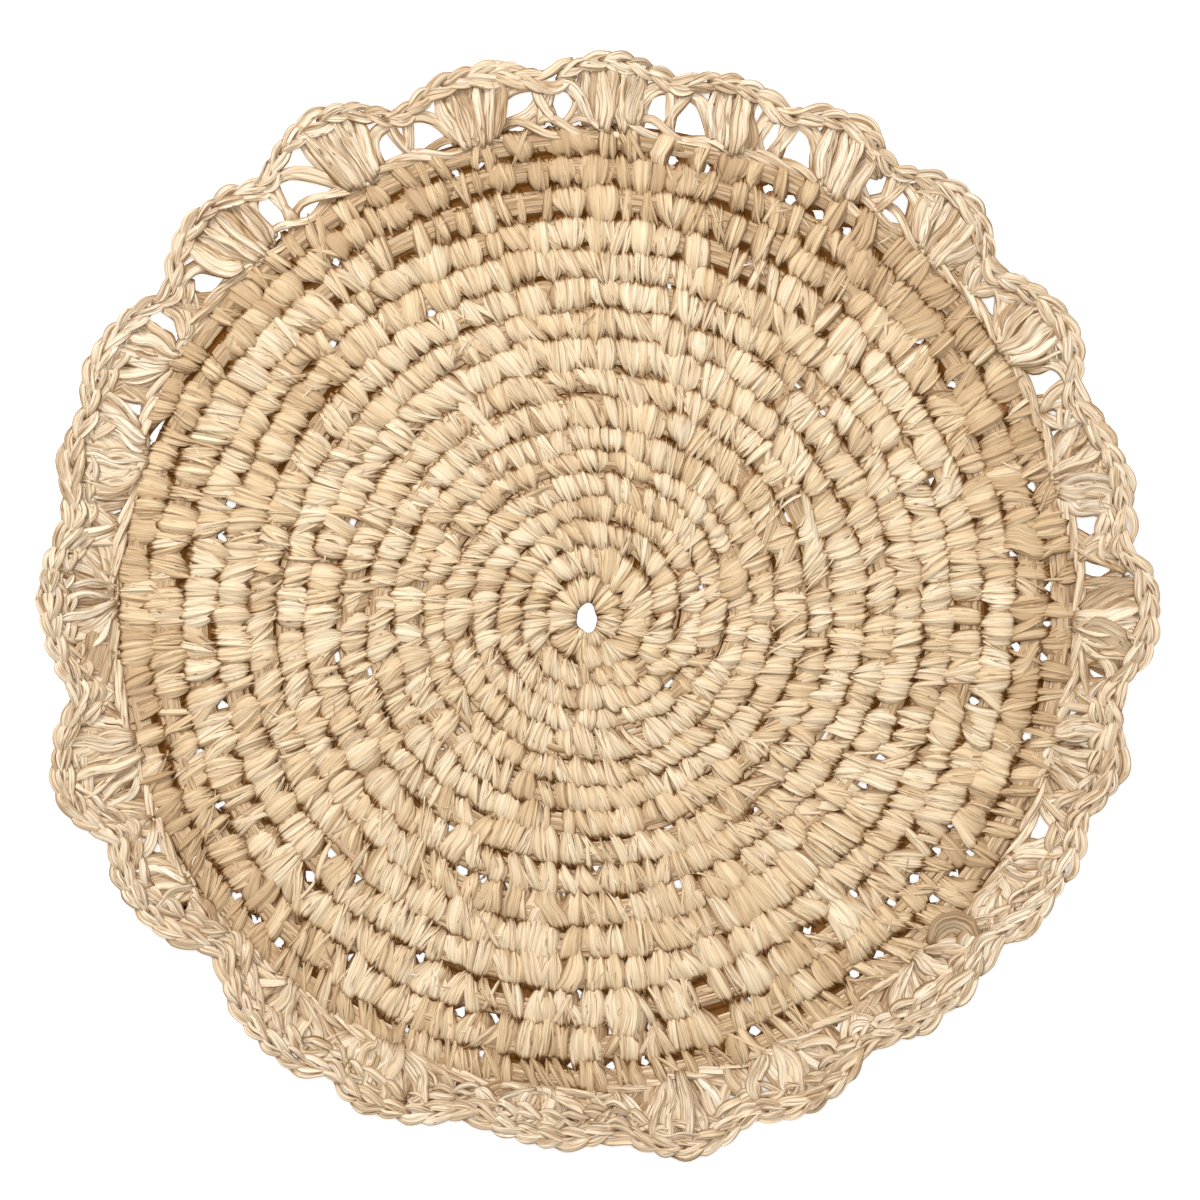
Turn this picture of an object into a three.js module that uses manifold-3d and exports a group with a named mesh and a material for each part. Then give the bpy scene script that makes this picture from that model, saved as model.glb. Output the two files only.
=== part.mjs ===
// Round placemat crocheted in raffia over a thin straw core.
// A close-worked disc, made in one spiral from a small eye, carries an openwork edging of shells.
// Millimetres, +Z up. The mat lies face up with its underside on z = 0.
// The origin is the middle of the mat's bounding box, on the underside.
// Bearings are degrees clockwise from +Y, and radii are measured from the middle of the eye.

import * as THREE from "three";
import Module from "manifold-3d";
import { mergeVertices } from "three/addons/utils/BufferGeometryUtils.js";

// The eye sits a little off the middle of the scalloped outline.
const EYE_X = -4.53;
const EYE_Y = -4.86;
const EYE_HALF_WIDTH = 3.6;
const EYE_HALF_LENGTH = 5.1;

// The disc is worked in close rounds. Each shows as a rounded ridge between two crevices.
const ROUNDS = 17;
const ROUND_PITCH_AT_EYE = 8.18;
const ROUND_PITCH_GROWTH = 0.0824;
const EYE_RADIUS = 5.1;
const RIDGE_HEIGHT = 5.6;
const CREVICE_HEIGHT = 4.3;
const EDGE_ROUNDING = 1.2;
const DISC_POINTS_PER_SHELL = 3;

// The edging is a strip of shells around the disc, a hair's breadth clear of it.
const SEAT_GAP = 0.48;
const EDGING_THICKNESS = 3.8;
const STRIP_COLUMNS = 2;
const STRIP_POINTS_PER_SHELL = 9;
const CROWN_FULLNESS = 2.3;
const GAP_SIDES = 10;
const GAP_DEPTH = 60;

// One row for each shell, clockwise. The shell starts in a dip between two scallops:
// start is the dip's bearing and dip its radius, crown is the radius of the scallop's top,
// lean is where the top lies between this dip and the next (0.5 is midway),
// seat is the radius at which the shell grows out of the disc, and lift is how far its top curls up.
const SHELLS = [
  { start: 356.0, dip: 185.1, crown: 194.0, lean: 0.47, seat: 167.9, lift: 1.5 },
  { start: 9.7, dip: 185.7, crown: 192.4, lean: 0.48, seat: 167.7, lift: 1.5 },
  { start: 21.8, dip: 186.4, crown: 194.5, lean: 0.52, seat: 168.2, lift: 1.5 },
  { start: 34.4, dip: 186.9, crown: 195.4, lean: 0.5, seat: 170.5, lift: 2.0 },
  { start: 49.5, dip: 183.3, crown: 194.2, lean: 0.52, seat: 170.1, lift: 3.0 },
  { start: 65.2, dip: 184.7, crown: 191.2, lean: 0.6, seat: 167.8, lift: 3.5 },
  { start: 82.7, dip: 184.8, crown: 195.6, lean: 0.42, seat: 168.7, lift: 3.0 },
  { start: 98.2, dip: 183.2, crown: 190.2, lean: 0.58, seat: 164.8, lift: 4.0 },
  { start: 111.8, dip: 182.8, crown: 187.4, lean: 0.48, seat: 166.8, lift: 7.0 },
  { start: 128.9, dip: 177.7, crown: 182.9, lean: 0.5, seat: 162.0, lift: 8.0 },
  { start: 146.4, dip: 175.8, crown: 184.2, lean: 0.5, seat: 161.2, lift: 6.0 },
  { start: 161.4, dip: 180.1, crown: 187.0, lean: 0.56, seat: 160.6, lift: 4.0 },
  { start: 176.1, dip: 176.6, crown: 180.4, lean: 0.5, seat: 163.2, lift: 9.0 },
  { start: 193.1, dip: 174.6, crown: 184.2, lean: 0.6, seat: 162.0, lift: 8.0 },
  { start: 209.4, dip: 178.2, crown: 183.4, lean: 0.45, seat: 161.8, lift: 8.0 },
  { start: 227.5, dip: 170.4, crown: 183.6, lean: 0.55, seat: 164.3, lift: 9.0 },
  { start: 245.3, dip: 177.8, crown: 190.0, lean: 0.42, seat: 161.2, lift: 5.0 },
  { start: 260.9, dip: 177.4, crown: 186.6, lean: 0.56, seat: 162.4, lift: 6.0 },
  { start: 280.8, dip: 180.4, crown: 187.4, lean: 0.6, seat: 161.6, lift: 4.5 },
  { start: 292.7, dip: 186.1, crown: 191.2, lean: 0.5, seat: 167.5, lift: 3.0 },
  { start: 307.8, dip: 181.8, crown: 192.9, lean: 0.5, seat: 166.8, lift: 2.0 },
  { start: 323.5, dip: 186.0, crown: 196.4, lean: 0.5, seat: 167.8, lift: 1.5 },
  { start: 339.1, dip: 184.1, crown: 192.5, lean: 0.52, seat: 167.0, lift: 1.5 },
];

// The lace gaps on either side of the posts that stand between the shells. Each is an oval:
// bearing and radius place its middle, wide runs along the rim and high runs outwards.
const LACE_GAPS = [
  { bearing: 352.0, radius: 175.9, wide: 6.6, high: 8.4 },
  { bearing: 357.4, radius: 176.2, wide: 6.4, high: 7.0 },
  { bearing: 8.0, radius: 176.2, wide: 6.2, high: 8.4 },
  { bearing: 10.9, radius: 176.8, wide: 6.2, high: 8.2 },
  { bearing: 20.7, radius: 177.0, wide: 6.2, high: 8.2 },
  { bearing: 24.2, radius: 177.6, wide: 6.4, high: 7.6 },
  { bearing: 33.7, radius: 177.2, wide: 6.6, high: 7.4 },
  { bearing: 37.2, radius: 177.2, wide: 6.2, high: 6.4 },
  { bearing: 62.6, radius: 178.2, wide: 6.2, high: 6.4 },
  { bearing: 66.6, radius: 177.0, wide: 4.2, high: 5.0 },
  { bearing: 79.4, radius: 177.4, wide: 5.2, high: 6.0 },
  { bearing: 84.8, radius: 175.8, wide: 4.4, high: 4.6 },
  { bearing: 96.0, radius: 175.4, wide: 4.8, high: 5.4 },
  { bearing: 126.8, radius: 172.0, wide: 5.0, high: 4.8 },
  { bearing: 158.9, radius: 171.2, wide: 5.4, high: 5.6 },
  { bearing: 163.2, radius: 172.6, wide: 4.0, high: 5.0 },
  { bearing: 243.4, radius: 171.4, wide: 5.6, high: 4.6 },
  { bearing: 305.0, radius: 175.4, wide: 5.2, high: 7.4 },
  { bearing: 311.0, radius: 174.4, wide: 6.8, high: 7.4 },
  { bearing: 322.0, radius: 176.6, wide: 6.6, high: 8.8 },
  { bearing: 325.4, radius: 177.6, wide: 6.7, high: 7.6 },
  { bearing: 337.0, radius: 175.6, wide: 5.4, high: 5.8 },
  { bearing: 341.4, radius: 175.0, wide: 6.8, high: 7.2 },
];

const FULL_TURN = 360;
const RAFFIA_CREAM = "#d9b98c";
const RAFFIA_PALE = "#ddc39c";

const radians = (degrees) => (degrees * Math.PI) / 180;
const wrap = (degrees) => ((degrees % FULL_TURN) + FULL_TURN) % FULL_TURN;
const mix = (a, b, t) => a + (b - a) * t;

// The point of the mat's plane at a bearing and a radius from the eye.
function placed(bearing, radius) {
  const angle = radians(bearing);
  return new THREE.Vector2(EYE_X + radius * Math.sin(angle), EYE_Y + radius * Math.cos(angle));
}

// The shell that a bearing falls in, the next shell, and the share of the way between their dips.
function shellAt(bearing) {
  for (let index = 0; index < SHELLS.length; index += 1) {
    const shell = SHELLS[index];
    const next = SHELLS[(index + 1) % SHELLS.length];
    const width = wrap(next.start - shell.start);
    const from = wrap(bearing - shell.start);
    if (from < width) {
      return { shell, next, share: from / width };
    }
  }
  throw new Error("the shells leave a gap in the edging");
}

// A smooth hill: 0 at both dips and 1 at the shell's top, which may lean to one side.
function crownHill(share, lean) {
  const power = Math.log(0.5) / Math.log(lean);
  const centred = 2 * share ** power - 1;
  return 1 - Math.abs(centred) ** CROWN_FULLNESS;
}

// The scalloped outer edge: the dips joined by a straight run, with each shell's hill on top.
function rimRadius(bearing) {
  const { shell, next, share } = shellAt(bearing);
  const base = mix(shell.dip, next.dip, share);
  const top = mix(shell.dip, next.dip, shell.lean);
  return base + (shell.crown - top) * crownHill(share, shell.lean);
}

// The edge of the close-worked disc, which runs smoothly from the middle of one shell to the next.
function seatRadius(bearing) {
  const { shell, next, share } = shellAt(bearing);
  const index = SHELLS.indexOf(shell);
  const previous = SHELLS[(index + SHELLS.length - 1) % SHELLS.length];
  if (share < 0.5) {
    return mix(previous.seat, shell.seat, THREE.MathUtils.smoothstep(share + 0.5, 0, 1));
  }
  return mix(shell.seat, next.seat, THREE.MathUtils.smoothstep(share - 0.5, 0, 1));
}

// How far the edging curls up at a bearing and radius: nothing at the disc, its full lift at the rim.
function curl(bearing, radius) {
  const { shell, next, share } = shellAt(bearing);
  const index = SHELLS.indexOf(shell);
  const previous = SHELLS[(index + SHELLS.length - 1) % SHELLS.length];
  const side = share < 0.5 ? previous.lift : next.lift;
  const lift = mix(shell.lift, side, Math.abs(share - 0.5));
  const seat = seatRadius(bearing);
  const out = THREE.MathUtils.clamp((radius - seat) / (rimRadius(bearing) - seat), 0, 1);
  return lift * out * out;
}

// The disc's section from the eye to its edge, closed on itself: a flat underside and ridged rounds.
function discSection() {
  const edge = roundRadius(ROUNDS);
  const section = [new THREE.Vector2(EYE_RADIUS, 0), new THREE.Vector2(edge - EDGE_ROUNDING, 0)];
  section.push(new THREE.Vector2(edge, EDGE_ROUNDING));
  section.push(new THREE.Vector2(edge, CREVICE_HEIGHT - EDGE_ROUNDING));
  for (let round = ROUNDS; round > 0; round -= 1) {
    const outer = round === ROUNDS ? edge - EDGE_ROUNDING : roundRadius(round);
    const inner = roundRadius(round - 1);
    section.push(new THREE.Vector2(outer, CREVICE_HEIGHT));
    section.push(new THREE.Vector2(mix(inner, outer, 0.5), RIDGE_HEIGHT));
  }
  section.push(new THREE.Vector2(EYE_RADIUS, CREVICE_HEIGHT));
  section.push(section[0].clone());
  return section;
}

// The radius of the crevice outside a round. The rounds widen slowly towards the edge.
function roundRadius(round) {
  return EYE_RADIUS + ROUND_PITCH_AT_EYE * round + ROUND_PITCH_GROWTH * round * round;
}

// The bearing of a point that was turned with an equal number of segments to each shell.
function bearingOf(x, y, pointsPerShell) {
  const segments = SHELLS.length * pointsPerShell;
  const turned = (segments * Math.atan2(x, y)) / (2 * Math.PI);
  const point = (Math.round(turned) + segments) % segments;
  const shell = SHELLS[Math.floor(point / pointsPerShell)];
  const next = SHELLS[(SHELLS.indexOf(shell) + 1) % SHELLS.length];
  const share = (point % pointsPerShell) / pointsPerShell;
  return wrap(shell.start + share * wrap(next.start - shell.start));
}

// The disc is turned about the eye. Then each point moves in or out, so that the eye is oval
// and the edge follows the seats of the shells.
function discGeometry() {
  const geometry = new THREE.LatheGeometry(discSection(), SHELLS.length * DISC_POINTS_PER_SHELL);
  geometry.rotateX(Math.PI / 2);
  geometry.rotateZ(Math.PI);
  const places = geometry.getAttribute("position");
  const edge = roundRadius(ROUNDS);
  for (let index = 0; index < places.count; index += 1) {
    const x = places.getX(index);
    const y = places.getY(index);
    const radius = Math.hypot(x, y);
    const bearing = bearingOf(x, y, DISC_POINTS_PER_SHELL);
    const outwards = (radius - EYE_RADIUS) / (edge - EYE_RADIUS);
    const angle = radians(bearing);
    const eye = 1 / Math.hypot(Math.sin(angle) / EYE_HALF_WIDTH, Math.cos(angle) / EYE_HALF_LENGTH);
    const shift = mix(eye - EYE_RADIUS, seatRadius(bearing) - edge, outwards * outwards);
    const spot = placed(bearing, radius + shift);
    places.setXY(index, spot.x, spot.y);
  }
  return geometry;
}

// The section of the edging: a flat strip from its seat, at 1, out to its rim, at 2.
function edgingSection() {
  const section = [];
  for (let column = 0; column <= STRIP_COLUMNS; column += 1) {
    section.push(new THREE.Vector2(1 + column / STRIP_COLUMNS, 0));
  }
  for (let column = STRIP_COLUMNS; column >= 0; column -= 1) {
    section.push(new THREE.Vector2(1 + column / STRIP_COLUMNS, EDGING_THICKNESS));
  }
  section.push(section[0].clone());
  return section;
}

// The strip is turned with an equal number of points to each shell. Then each point moves to its
// place between seat and rim, and is raised where the shell curls up.
function stripGeometry() {
  const segments = SHELLS.length * STRIP_POINTS_PER_SHELL;
  const geometry = new THREE.LatheGeometry(edgingSection(), segments);
  geometry.rotateX(Math.PI / 2);
  geometry.rotateZ(Math.PI);
  const places = geometry.getAttribute("position");
  for (let index = 0; index < places.count; index += 1) {
    const x = places.getX(index);
    const y = places.getY(index);
    const bearing = bearingOf(x, y, STRIP_POINTS_PER_SHELL);
    const out = Math.hypot(x, y) - 1;
    const radius = mix(seatRadius(bearing) + SEAT_GAP, rimRadius(bearing), out);
    const spot = placed(bearing, radius);
    places.setXYZ(index, spot.x, spot.y, places.getZ(index) + curl(bearing, radius));
  }
  return geometry;
}

// One lace gap: an oval peg, upright through the strip, whose long side points outwards from the eye.
function gapGeometry({ bearing, radius, wide, high }) {
  const peg = new THREE.CylinderGeometry(0.5, 0.5, GAP_DEPTH, GAP_SIDES);
  peg.rotateX(Math.PI / 2);
  peg.scale(wide, high, 1);
  peg.rotateZ(-radians(bearing));
  const middle = placed(bearing, radius);
  peg.translate(middle.x, middle.y, 0);
  return peg;
}

const wasm = await Module();
wasm.setup();

function solidOf(geometry) {
  const bare = geometry.clone();
  bare.deleteAttribute("normal");
  bare.deleteAttribute("uv");
  const merged = mergeVertices(bare, 1e-4);
  const vertProperties = merged.getAttribute("position").array;
  const triVerts = new Uint32Array(merged.getIndex().array);
  return new wasm.Manifold(new wasm.Mesh({ numProp: 3, vertProperties, triVerts }));
}

function geometryOf(solid) {
  const mesh = solid.getMesh();
  const geometry = new THREE.BufferGeometry();
  geometry.setAttribute("position", new THREE.BufferAttribute(mesh.vertProperties, 3));
  geometry.setIndex(new THREE.BufferAttribute(mesh.triVerts, 1));
  geometry.computeVertexNormals();
  return geometry;
}

// The strip with every lace gap cut through it.
function edgingGeometry() {
  let strip = solidOf(stripGeometry());
  for (const gap of LACE_GAPS) {
    strip = strip.subtract(solidOf(gapGeometry(gap)));
  }
  return geometryOf(strip);
}

function raffia(colour, roughness) {
  return new THREE.MeshStandardMaterial({ color: new THREE.Color(colour), roughness, metalness: 0 });
}

function piece(name, geometry, material) {
  const mesh = new THREE.Mesh(geometry, material);
  mesh.name = name;
  return mesh;
}

const placemat = new THREE.Group();
placemat.add(piece("disc", discGeometry(), raffia(RAFFIA_CREAM, 0.72)));
placemat.add(piece("shell_edging", edgingGeometry(), raffia(RAFFIA_PALE, 0.75)));

export default placemat;
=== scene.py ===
"""Round placemat crocheted in raffia over a straw core, with a scalloped shell edging.

The mat is one spiral of close stitches worked out from a small eye. Around it goes an openwork
edging: fans of long stitches, V-shaped posts between them, and a plaited rim.
Lengths in the tables and settings are millimetres, unless a unit says otherwise. Bearings are
degrees clockwise from +Y, and radii are measured from the middle of the eye.
"""

import bpy
import numpy as np
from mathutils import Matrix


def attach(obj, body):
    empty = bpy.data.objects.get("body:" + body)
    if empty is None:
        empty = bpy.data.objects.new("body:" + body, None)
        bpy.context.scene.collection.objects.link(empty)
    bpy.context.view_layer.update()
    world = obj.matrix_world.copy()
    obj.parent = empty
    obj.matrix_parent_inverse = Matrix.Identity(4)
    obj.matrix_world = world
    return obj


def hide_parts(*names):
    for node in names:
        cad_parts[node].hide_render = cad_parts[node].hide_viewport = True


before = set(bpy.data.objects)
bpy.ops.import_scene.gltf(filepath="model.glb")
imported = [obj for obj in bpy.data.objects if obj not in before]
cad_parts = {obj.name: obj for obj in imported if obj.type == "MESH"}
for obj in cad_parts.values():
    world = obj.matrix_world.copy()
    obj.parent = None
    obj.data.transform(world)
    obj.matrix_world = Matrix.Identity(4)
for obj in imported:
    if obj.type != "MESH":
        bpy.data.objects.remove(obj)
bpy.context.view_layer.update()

bl_info = {
    "name": "Raffia placemat",
    "version": (1, 0, 0),
    "blender": (4, 5, 0),
    "location": "3D View > Sidebar > Placemat",
    "description": "Builds a round crocheted placemat with a shell edging, "
                   "and a plain stage for it",
    "category": "Add Mesh",
}

MM = 0.001
FULL_TURN = 360.0

# The spiral. A row for each turn, from the outermost inwards, and a column for each of eight
# bearings. Each number is the radius of the crevice outside that turn.
SPIRAL_START = -45.0
SPIRAL_STEP = 45.0
SPIRAL = np.array([
    # 315,    0,    45,    90,   135,   180,   225,   270
    (166.6, 168.3, 170.4, 168.3, 163.4, 162.6, 162.4, 161.4),
    (157.4, 159.1, 159.4, 158.1, 151.9, 153.3, 153.6, 150.9),
    (149.5, 148.9, 148.2, 147.5, 142.7, 140.7, 142.0, 139.3),
    (136.9, 137.9, 137.9, 137.2, 131.1, 128.7, 129.7, 127.3),
    (128.4, 127.0, 126.3, 126.3, 120.9, 117.4, 119.1, 116.1),
    (116.8, 116.8, 116.4, 116.8, 107.2, 106.5, 107.9, 106.5),
    (106.2, 106.5, 107.2, 106.9, 97.0, 95.6, 97.0, 97.0),
    (96.3, 97.0, 97.0, 97.0, 87.1, 85.4, 85.4, 86.7),
    (86.0, 86.4, 86.7, 85.0, 77.8, 75.8, 75.8, 76.5),
    (75.8, 77.2, 77.2, 76.5, 67.6, 67.3, 66.9, 67.3),
    (66.2, 66.9, 66.9, 65.9, 59.4, 57.4, 57.4, 57.4),
    (57.4, 57.4, 57.7, 56.7, 52.2, 49.5, 48.5, 50.5),
    (48.5, 50.2, 50.5, 48.5, 42.3, 39.3, 39.9, 41.0),
    (39.9, 41.7, 41.3, 40.3, 35.5, 32.4, 31.4, 31.8),
    (31.4, 34.1, 34.8, 32.1, 28.7, 24.6, 23.9, 22.9),
    (23.2, 25.3, 25.9, 24.2, 20.8, 17.1, 14.7, 14.0),
    (14.4, 15.2, 14.4, 12.8, 11.4, 9.6, 8.4, 7.0),
])
# The bearings, counted on through the turns, where the spiral opens and where it closes on the
# eye, the crevice radius at its end, and its smoothing in degrees to each side.
SPIRAL_OPENS, SPIRAL_CLOSES, SPIRAL_END_RADIUS, SPIRAL_SMOOTHING = -68.0, 5960.0, 4.6, 16
# The least width of a row; the eye's middle from the mat's, and its half width and length.
LEAST_ROW = 2.0
EYE, EYE_HALVES = (-4.53, -4.86), (3.6, 5.1)

# One row for each shell of the edging, clockwise: the bearing of the dip where it starts, the
# dip's radius, the radius of its crown, where the crown lies between two dips, the radius and
# bearing of its base, how far its crown curls up, and how open the lace beside it is (0 to 1).
SHELL_COLUMNS = ("start", "dip", "crown", "lean", "seat", "base", "lift", "open")
SHELLS = np.array([
    (-4.0, 185.1, 194.0, 0.47, 167.9, 3.0, 1.5, 1.0),
    (9.7, 185.7, 192.4, 0.48, 167.7, 17.3, 1.5, 1.0),
    (21.8, 186.4, 194.5, 0.52, 168.2, 30.4, 1.5, 1.0),
    (34.4, 186.9, 195.4, 0.50, 170.5, 43.7, 2.0, 0.8),
    (49.5, 183.3, 194.2, 0.52, 170.1, 57.5, 3.0, 0.4),
    (65.2, 184.7, 191.2, 0.60, 167.8, 73.8, 3.5, 0.6),
    (82.7, 184.8, 195.6, 0.42, 168.7, 91.0, 3.0, 0.6),
    (98.2, 183.2, 190.2, 0.58, 164.8, 105.6, 4.0, 0.5),
    (111.8, 182.8, 187.4, 0.48, 166.8, 121.2, 7.0, 0.3),
    (128.9, 177.7, 182.9, 0.50, 162.0, 136.1, 8.0, 0.4),
    (146.4, 175.8, 184.2, 0.50, 161.2, 155.9, 6.0, 0.2),
    (161.4, 180.1, 187.0, 0.56, 160.6, 168.9, 4.0, 0.5),
    (176.1, 176.6, 180.4, 0.50, 163.2, 185.4, 9.0, 0.2),
    (193.1, 174.6, 184.2, 0.60, 162.0, 203.9, 8.0, 0.2),
    (209.4, 178.2, 183.4, 0.45, 161.8, 218.7, 8.0, 0.2),
    (227.5, 170.4, 183.6, 0.55, 164.3, 235.6, 9.0, 0.2),
    (245.3, 177.8, 190.0, 0.42, 161.2, 254.0, 5.0, 0.4),
    (260.9, 177.4, 186.6, 0.56, 162.4, 272.9, 6.0, 0.2),
    (280.8, 180.4, 187.4, 0.60, 161.6, 289.6, 4.5, 0.2),
    (292.7, 186.1, 191.2, 0.50, 167.5, 302.7, 3.0, 0.3),
    (307.8, 181.8, 192.9, 0.50, 166.8, 318.2, 2.0, 0.9),
    (323.5, 186.0, 196.4, 0.50, 167.8, 333.0, 1.5, 1.0),
    (339.1, 184.1, 192.5, 0.52, 167.0, 347.1, 1.5, 1.0),
])
# How squarely a crown rises between its dips: 2 would be a parabola.
CROWN_ROUNDNESS = 2.3

# Places where the floor shows between two turns: for each turn, counted from the outermost, the
# bearings of the gaps along the crevice on its inner side.
THROUGH_GAPS = {
    1: (10.5, 14.8, 23.0, 26.0, 30.0, 34.0, 73.5, 86.0, 90.5, 94.8, 105.0, 121.5, 125.0,
        128.8, 139.0, 143.0, 157.8, 172.5, 176.8, 181.5, 193.5, 203.5, 223.5, 227.5, 231.5,
        343.5, 347.0),
    2: (50.0, 57.5, 81.5, 94.0, 108.0, 119.8, 123.8, 128.5, 133.0, 138.0, 142.3, 152.0, 156.7,
        171.5, 177.0, 182.0, 193.3, 197.6, 214.5, 243.0, 250.5, 324.7),
    3: (102.0, 136.0, 141.0, 145.0, 181.5, 205.8, 226.8, 256.2, 282.5, 287.8),
    4: (67.8, 101.3, 221.2, 227.2, 317.0),
    5: (14.0, 115.3, 121.3, 332.8),
    6: (42.5, 49.0, 161.0, 185.3, 191.8, 196.8, 201.3, 206.3),
    7: (116.0, 138.5, 177.8, 212.5, 261.0, 292.0),
    8: (144.5, 157.8, 256.0),
    9: (64.0, 227.3),
    10: (227.0, 281.0),
    12: (159.0,),
    13: (75.0, 128.5),
}
# The least and the greatest radius of these gaps.
GAP_RADII = (0.8, 1.5)


def flat_place(bearing, radius):
    """Points in the plane, in millimetres, at bearings and radii from the eye's middle."""
    angle = np.radians(bearing)
    return np.stack((EYE[0] + radius * np.sin(angle), EYE[1] + radius * np.cos(angle)), axis=-1)


def place(bearing, radius, height):
    """Points in metres: those of flat_place, each at a height."""
    flat = flat_place(bearing, radius)
    height = np.broadcast_to(height, flat.shape[:-1])
    return np.concatenate((flat, height[..., None]), axis=-1) * MM


def by_strip(values):
    """One value for each strip, shaped to meet the strips' grid."""
    return values[:, None, None]


def smoothstep(low, high, value):
    """0 below low, 1 above high, and a smooth S between them."""
    t = np.clip((value - low) / (high - low), 0.0, 1.0)
    return t * t * (3.0 - 2.0 * t)


def half_wave(t, stretch=1.0, start=0.0, power=1.0):
    """Half a sine wave over t stretched and moved by start, kept to its ends, to a power."""
    return np.sin(np.pi * np.clip(t * stretch + start, 0.0, 1.0)) ** power


def drift(rng, count, span):
    """A slow random wander with a spread of 1: white noise averaged over a span of items."""
    noise = rng.normal(size=count + 2 * span)
    window = np.hanning(2 * span + 1)
    window /= np.sqrt((window ** 2).sum())
    return np.convolve(noise, window, mode="valid")[:count]


def ripples(rng, strips, along, across):
    """Random waves along each line of each strip: four random values, joined by straight runs."""
    knots = rng.normal(size=(strips, 4, across))
    grid = np.linspace(0, 3, along)
    low = np.floor(grid).astype(int).clip(0, 2)
    part = (grid - low)[None, :, None]
    return knots[:, low] * (1 - part) + knots[:, low + 1] * part


# ---- The spiral and the scalloped edge -------------------------------------------------------


def spiral_curve():
    """Bearings along the whole spiral and the crevice radius there, smoothed along its length."""
    radii = SPIRAL.ravel()
    knots = SPIRAL_START + SPIRAL_STEP * np.arange(len(radii))
    fine = np.arange(SPIRAL_OPENS - 40.0, knots[-1] + 400.0, 1.0)
    values = np.interp(fine, knots, radii, right=SPIRAL_END_RADIUS)
    window = np.hanning(2 * SPIRAL_SMOOTHING + 1)
    window /= window.sum()
    return fine, np.convolve(np.pad(values, SPIRAL_SMOOTHING, mode="edge"), window, mode="valid")


SPIRAL_BEARINGS, SPIRAL_RADII = spiral_curve()


def turn_radius(beta):
    """The radius of the crevice outside the spiral at a bearing counted on through its turns."""
    return np.interp(beta, SPIRAL_BEARINGS, SPIRAL_RADII)


def eye_radius(bearing):
    """The oval eye's radius at a bearing, a little uneven."""
    angle = np.radians(bearing)
    uneven = 1.0 + 0.05 * np.sin(3.0 * angle + 1.0) + 0.04 * np.sin(5.0 * angle)
    return uneven / np.hypot(np.sin(angle) / EYE_HALVES[0], np.cos(angle) / EYE_HALVES[1])


def row_at(beta):
    """The spiral's row at a bearing counted on through its turns: its middle radius and width."""
    outer = turn_radius(beta)
    last = smoothstep(SPIRAL_CLOSES - 60.0, SPIRAL_CLOSES, beta + FULL_TURN)
    within = turn_radius(beta + FULL_TURN)
    inner = np.minimum(within + (eye_radius(beta) - within) * last, outer - LEAST_ROW)
    return (outer + inner) / 2.0, outer - inner


def spiral_run(opens, closes):
    """The spiral's bearings between two of them, and the length of its rows up to each."""
    bearings = SPIRAL_BEARINGS[(SPIRAL_BEARINGS >= opens) & (SPIRAL_BEARINGS <= closes)]
    middle, _ = row_at(bearings)
    return bearings, np.concatenate(((0.0,), np.cumsum(np.radians(1.0) * middle)[:-1]))


def gap_bearings():
    """Every gap's bearing counted along the turn whose inner side it is on."""
    return np.array([
        bearing + FULL_TURN * (turn - 1)
        - (FULL_TURN if bearing > FULL_TURN + SPIRAL_OPENS else 0.0)
        for turn, bearings in THROUGH_GAPS.items() for bearing in bearings])


def through_gaps():
    """The middles and radii of the gaps that the mat shows between two turns, in millimetres."""
    beta = gap_bearings()
    rng = np.random.default_rng(7)
    return flat_place(beta, turn_radius(beta + FULL_TURN)), rng.uniform(*GAP_RADII, len(beta))


def column(name):
    """One named column of the shell table."""
    return SHELLS[:, SHELL_COLUMNS.index(name)]


def to_next(bearings):
    """The degrees from each shell's bearing to that of the next shell."""
    return np.mod(np.roll(bearings, -1) - bearings, FULL_TURN)


def openness_at(dips):
    """How open the lace is at a dip: the mean of the shells on its two sides."""
    return (column("open")[dips] + column("open")[(dips - 1) % len(SHELLS)]) / 2.0


def shell_frame(bearing):
    """For each bearing: the index of its shell, the next one, and the share of the way across."""
    starts = column("start")
    turned = np.mod(np.asarray(bearing, float) - starts[0], FULL_TURN)
    index = np.searchsorted(starts - starts[0], turned, side="right") - 1
    share = (turned - (starts[index] - starts[0])) / to_next(starts)[index]
    return index, (index + 1) % len(SHELLS), share


def rim_radius(bearing):
    """The scalloped edge: a straight run from dip to dip, plus a rounded hill for each crown."""
    index, following, share = shell_frame(bearing)
    dip, crown, lean = column("dip"), column("crown"), column("lean")
    base = dip[index] + (dip[following] - dip[index]) * share
    top = dip[index] + (dip[following] - dip[index]) * lean[index]
    centred = 2.0 * share ** (np.log(0.5) / np.log(lean[index])) - 1.0
    return base + (crown[index] - top) * (1.0 - np.abs(centred) ** CROWN_ROUNDNESS)


def rounded_rim(bearing):
    """The scalloped edge with its dips rounded: its mean over two degrees to each side."""
    nearby = np.linspace(-2.0, 2.0, 9)
    weights = np.hanning(11)[1:-1]
    spread = np.asarray(bearing, float)[..., None] + nearby
    return (rim_radius(spread) * weights).sum(axis=-1) / weights.sum()


def between_shells(values, bearing):
    """A table value at a bearing, carried smoothly from the middle of one shell to the next."""
    index, following, share = shell_frame(bearing)
    before = (index - 1) % len(SHELLS)
    early = values[before] + (values[index] - values[before]) * smoothstep(0, 1, share + 0.5)
    late = values[index] + (values[following] - values[index]) * smoothstep(0, 1, share - 0.5)
    return np.where(share < 0.5, early, late)


def seat_radius(bearing):
    """The radius at which the edging grows out of the close rounds."""
    return between_shells(column("seat"), bearing)


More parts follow.
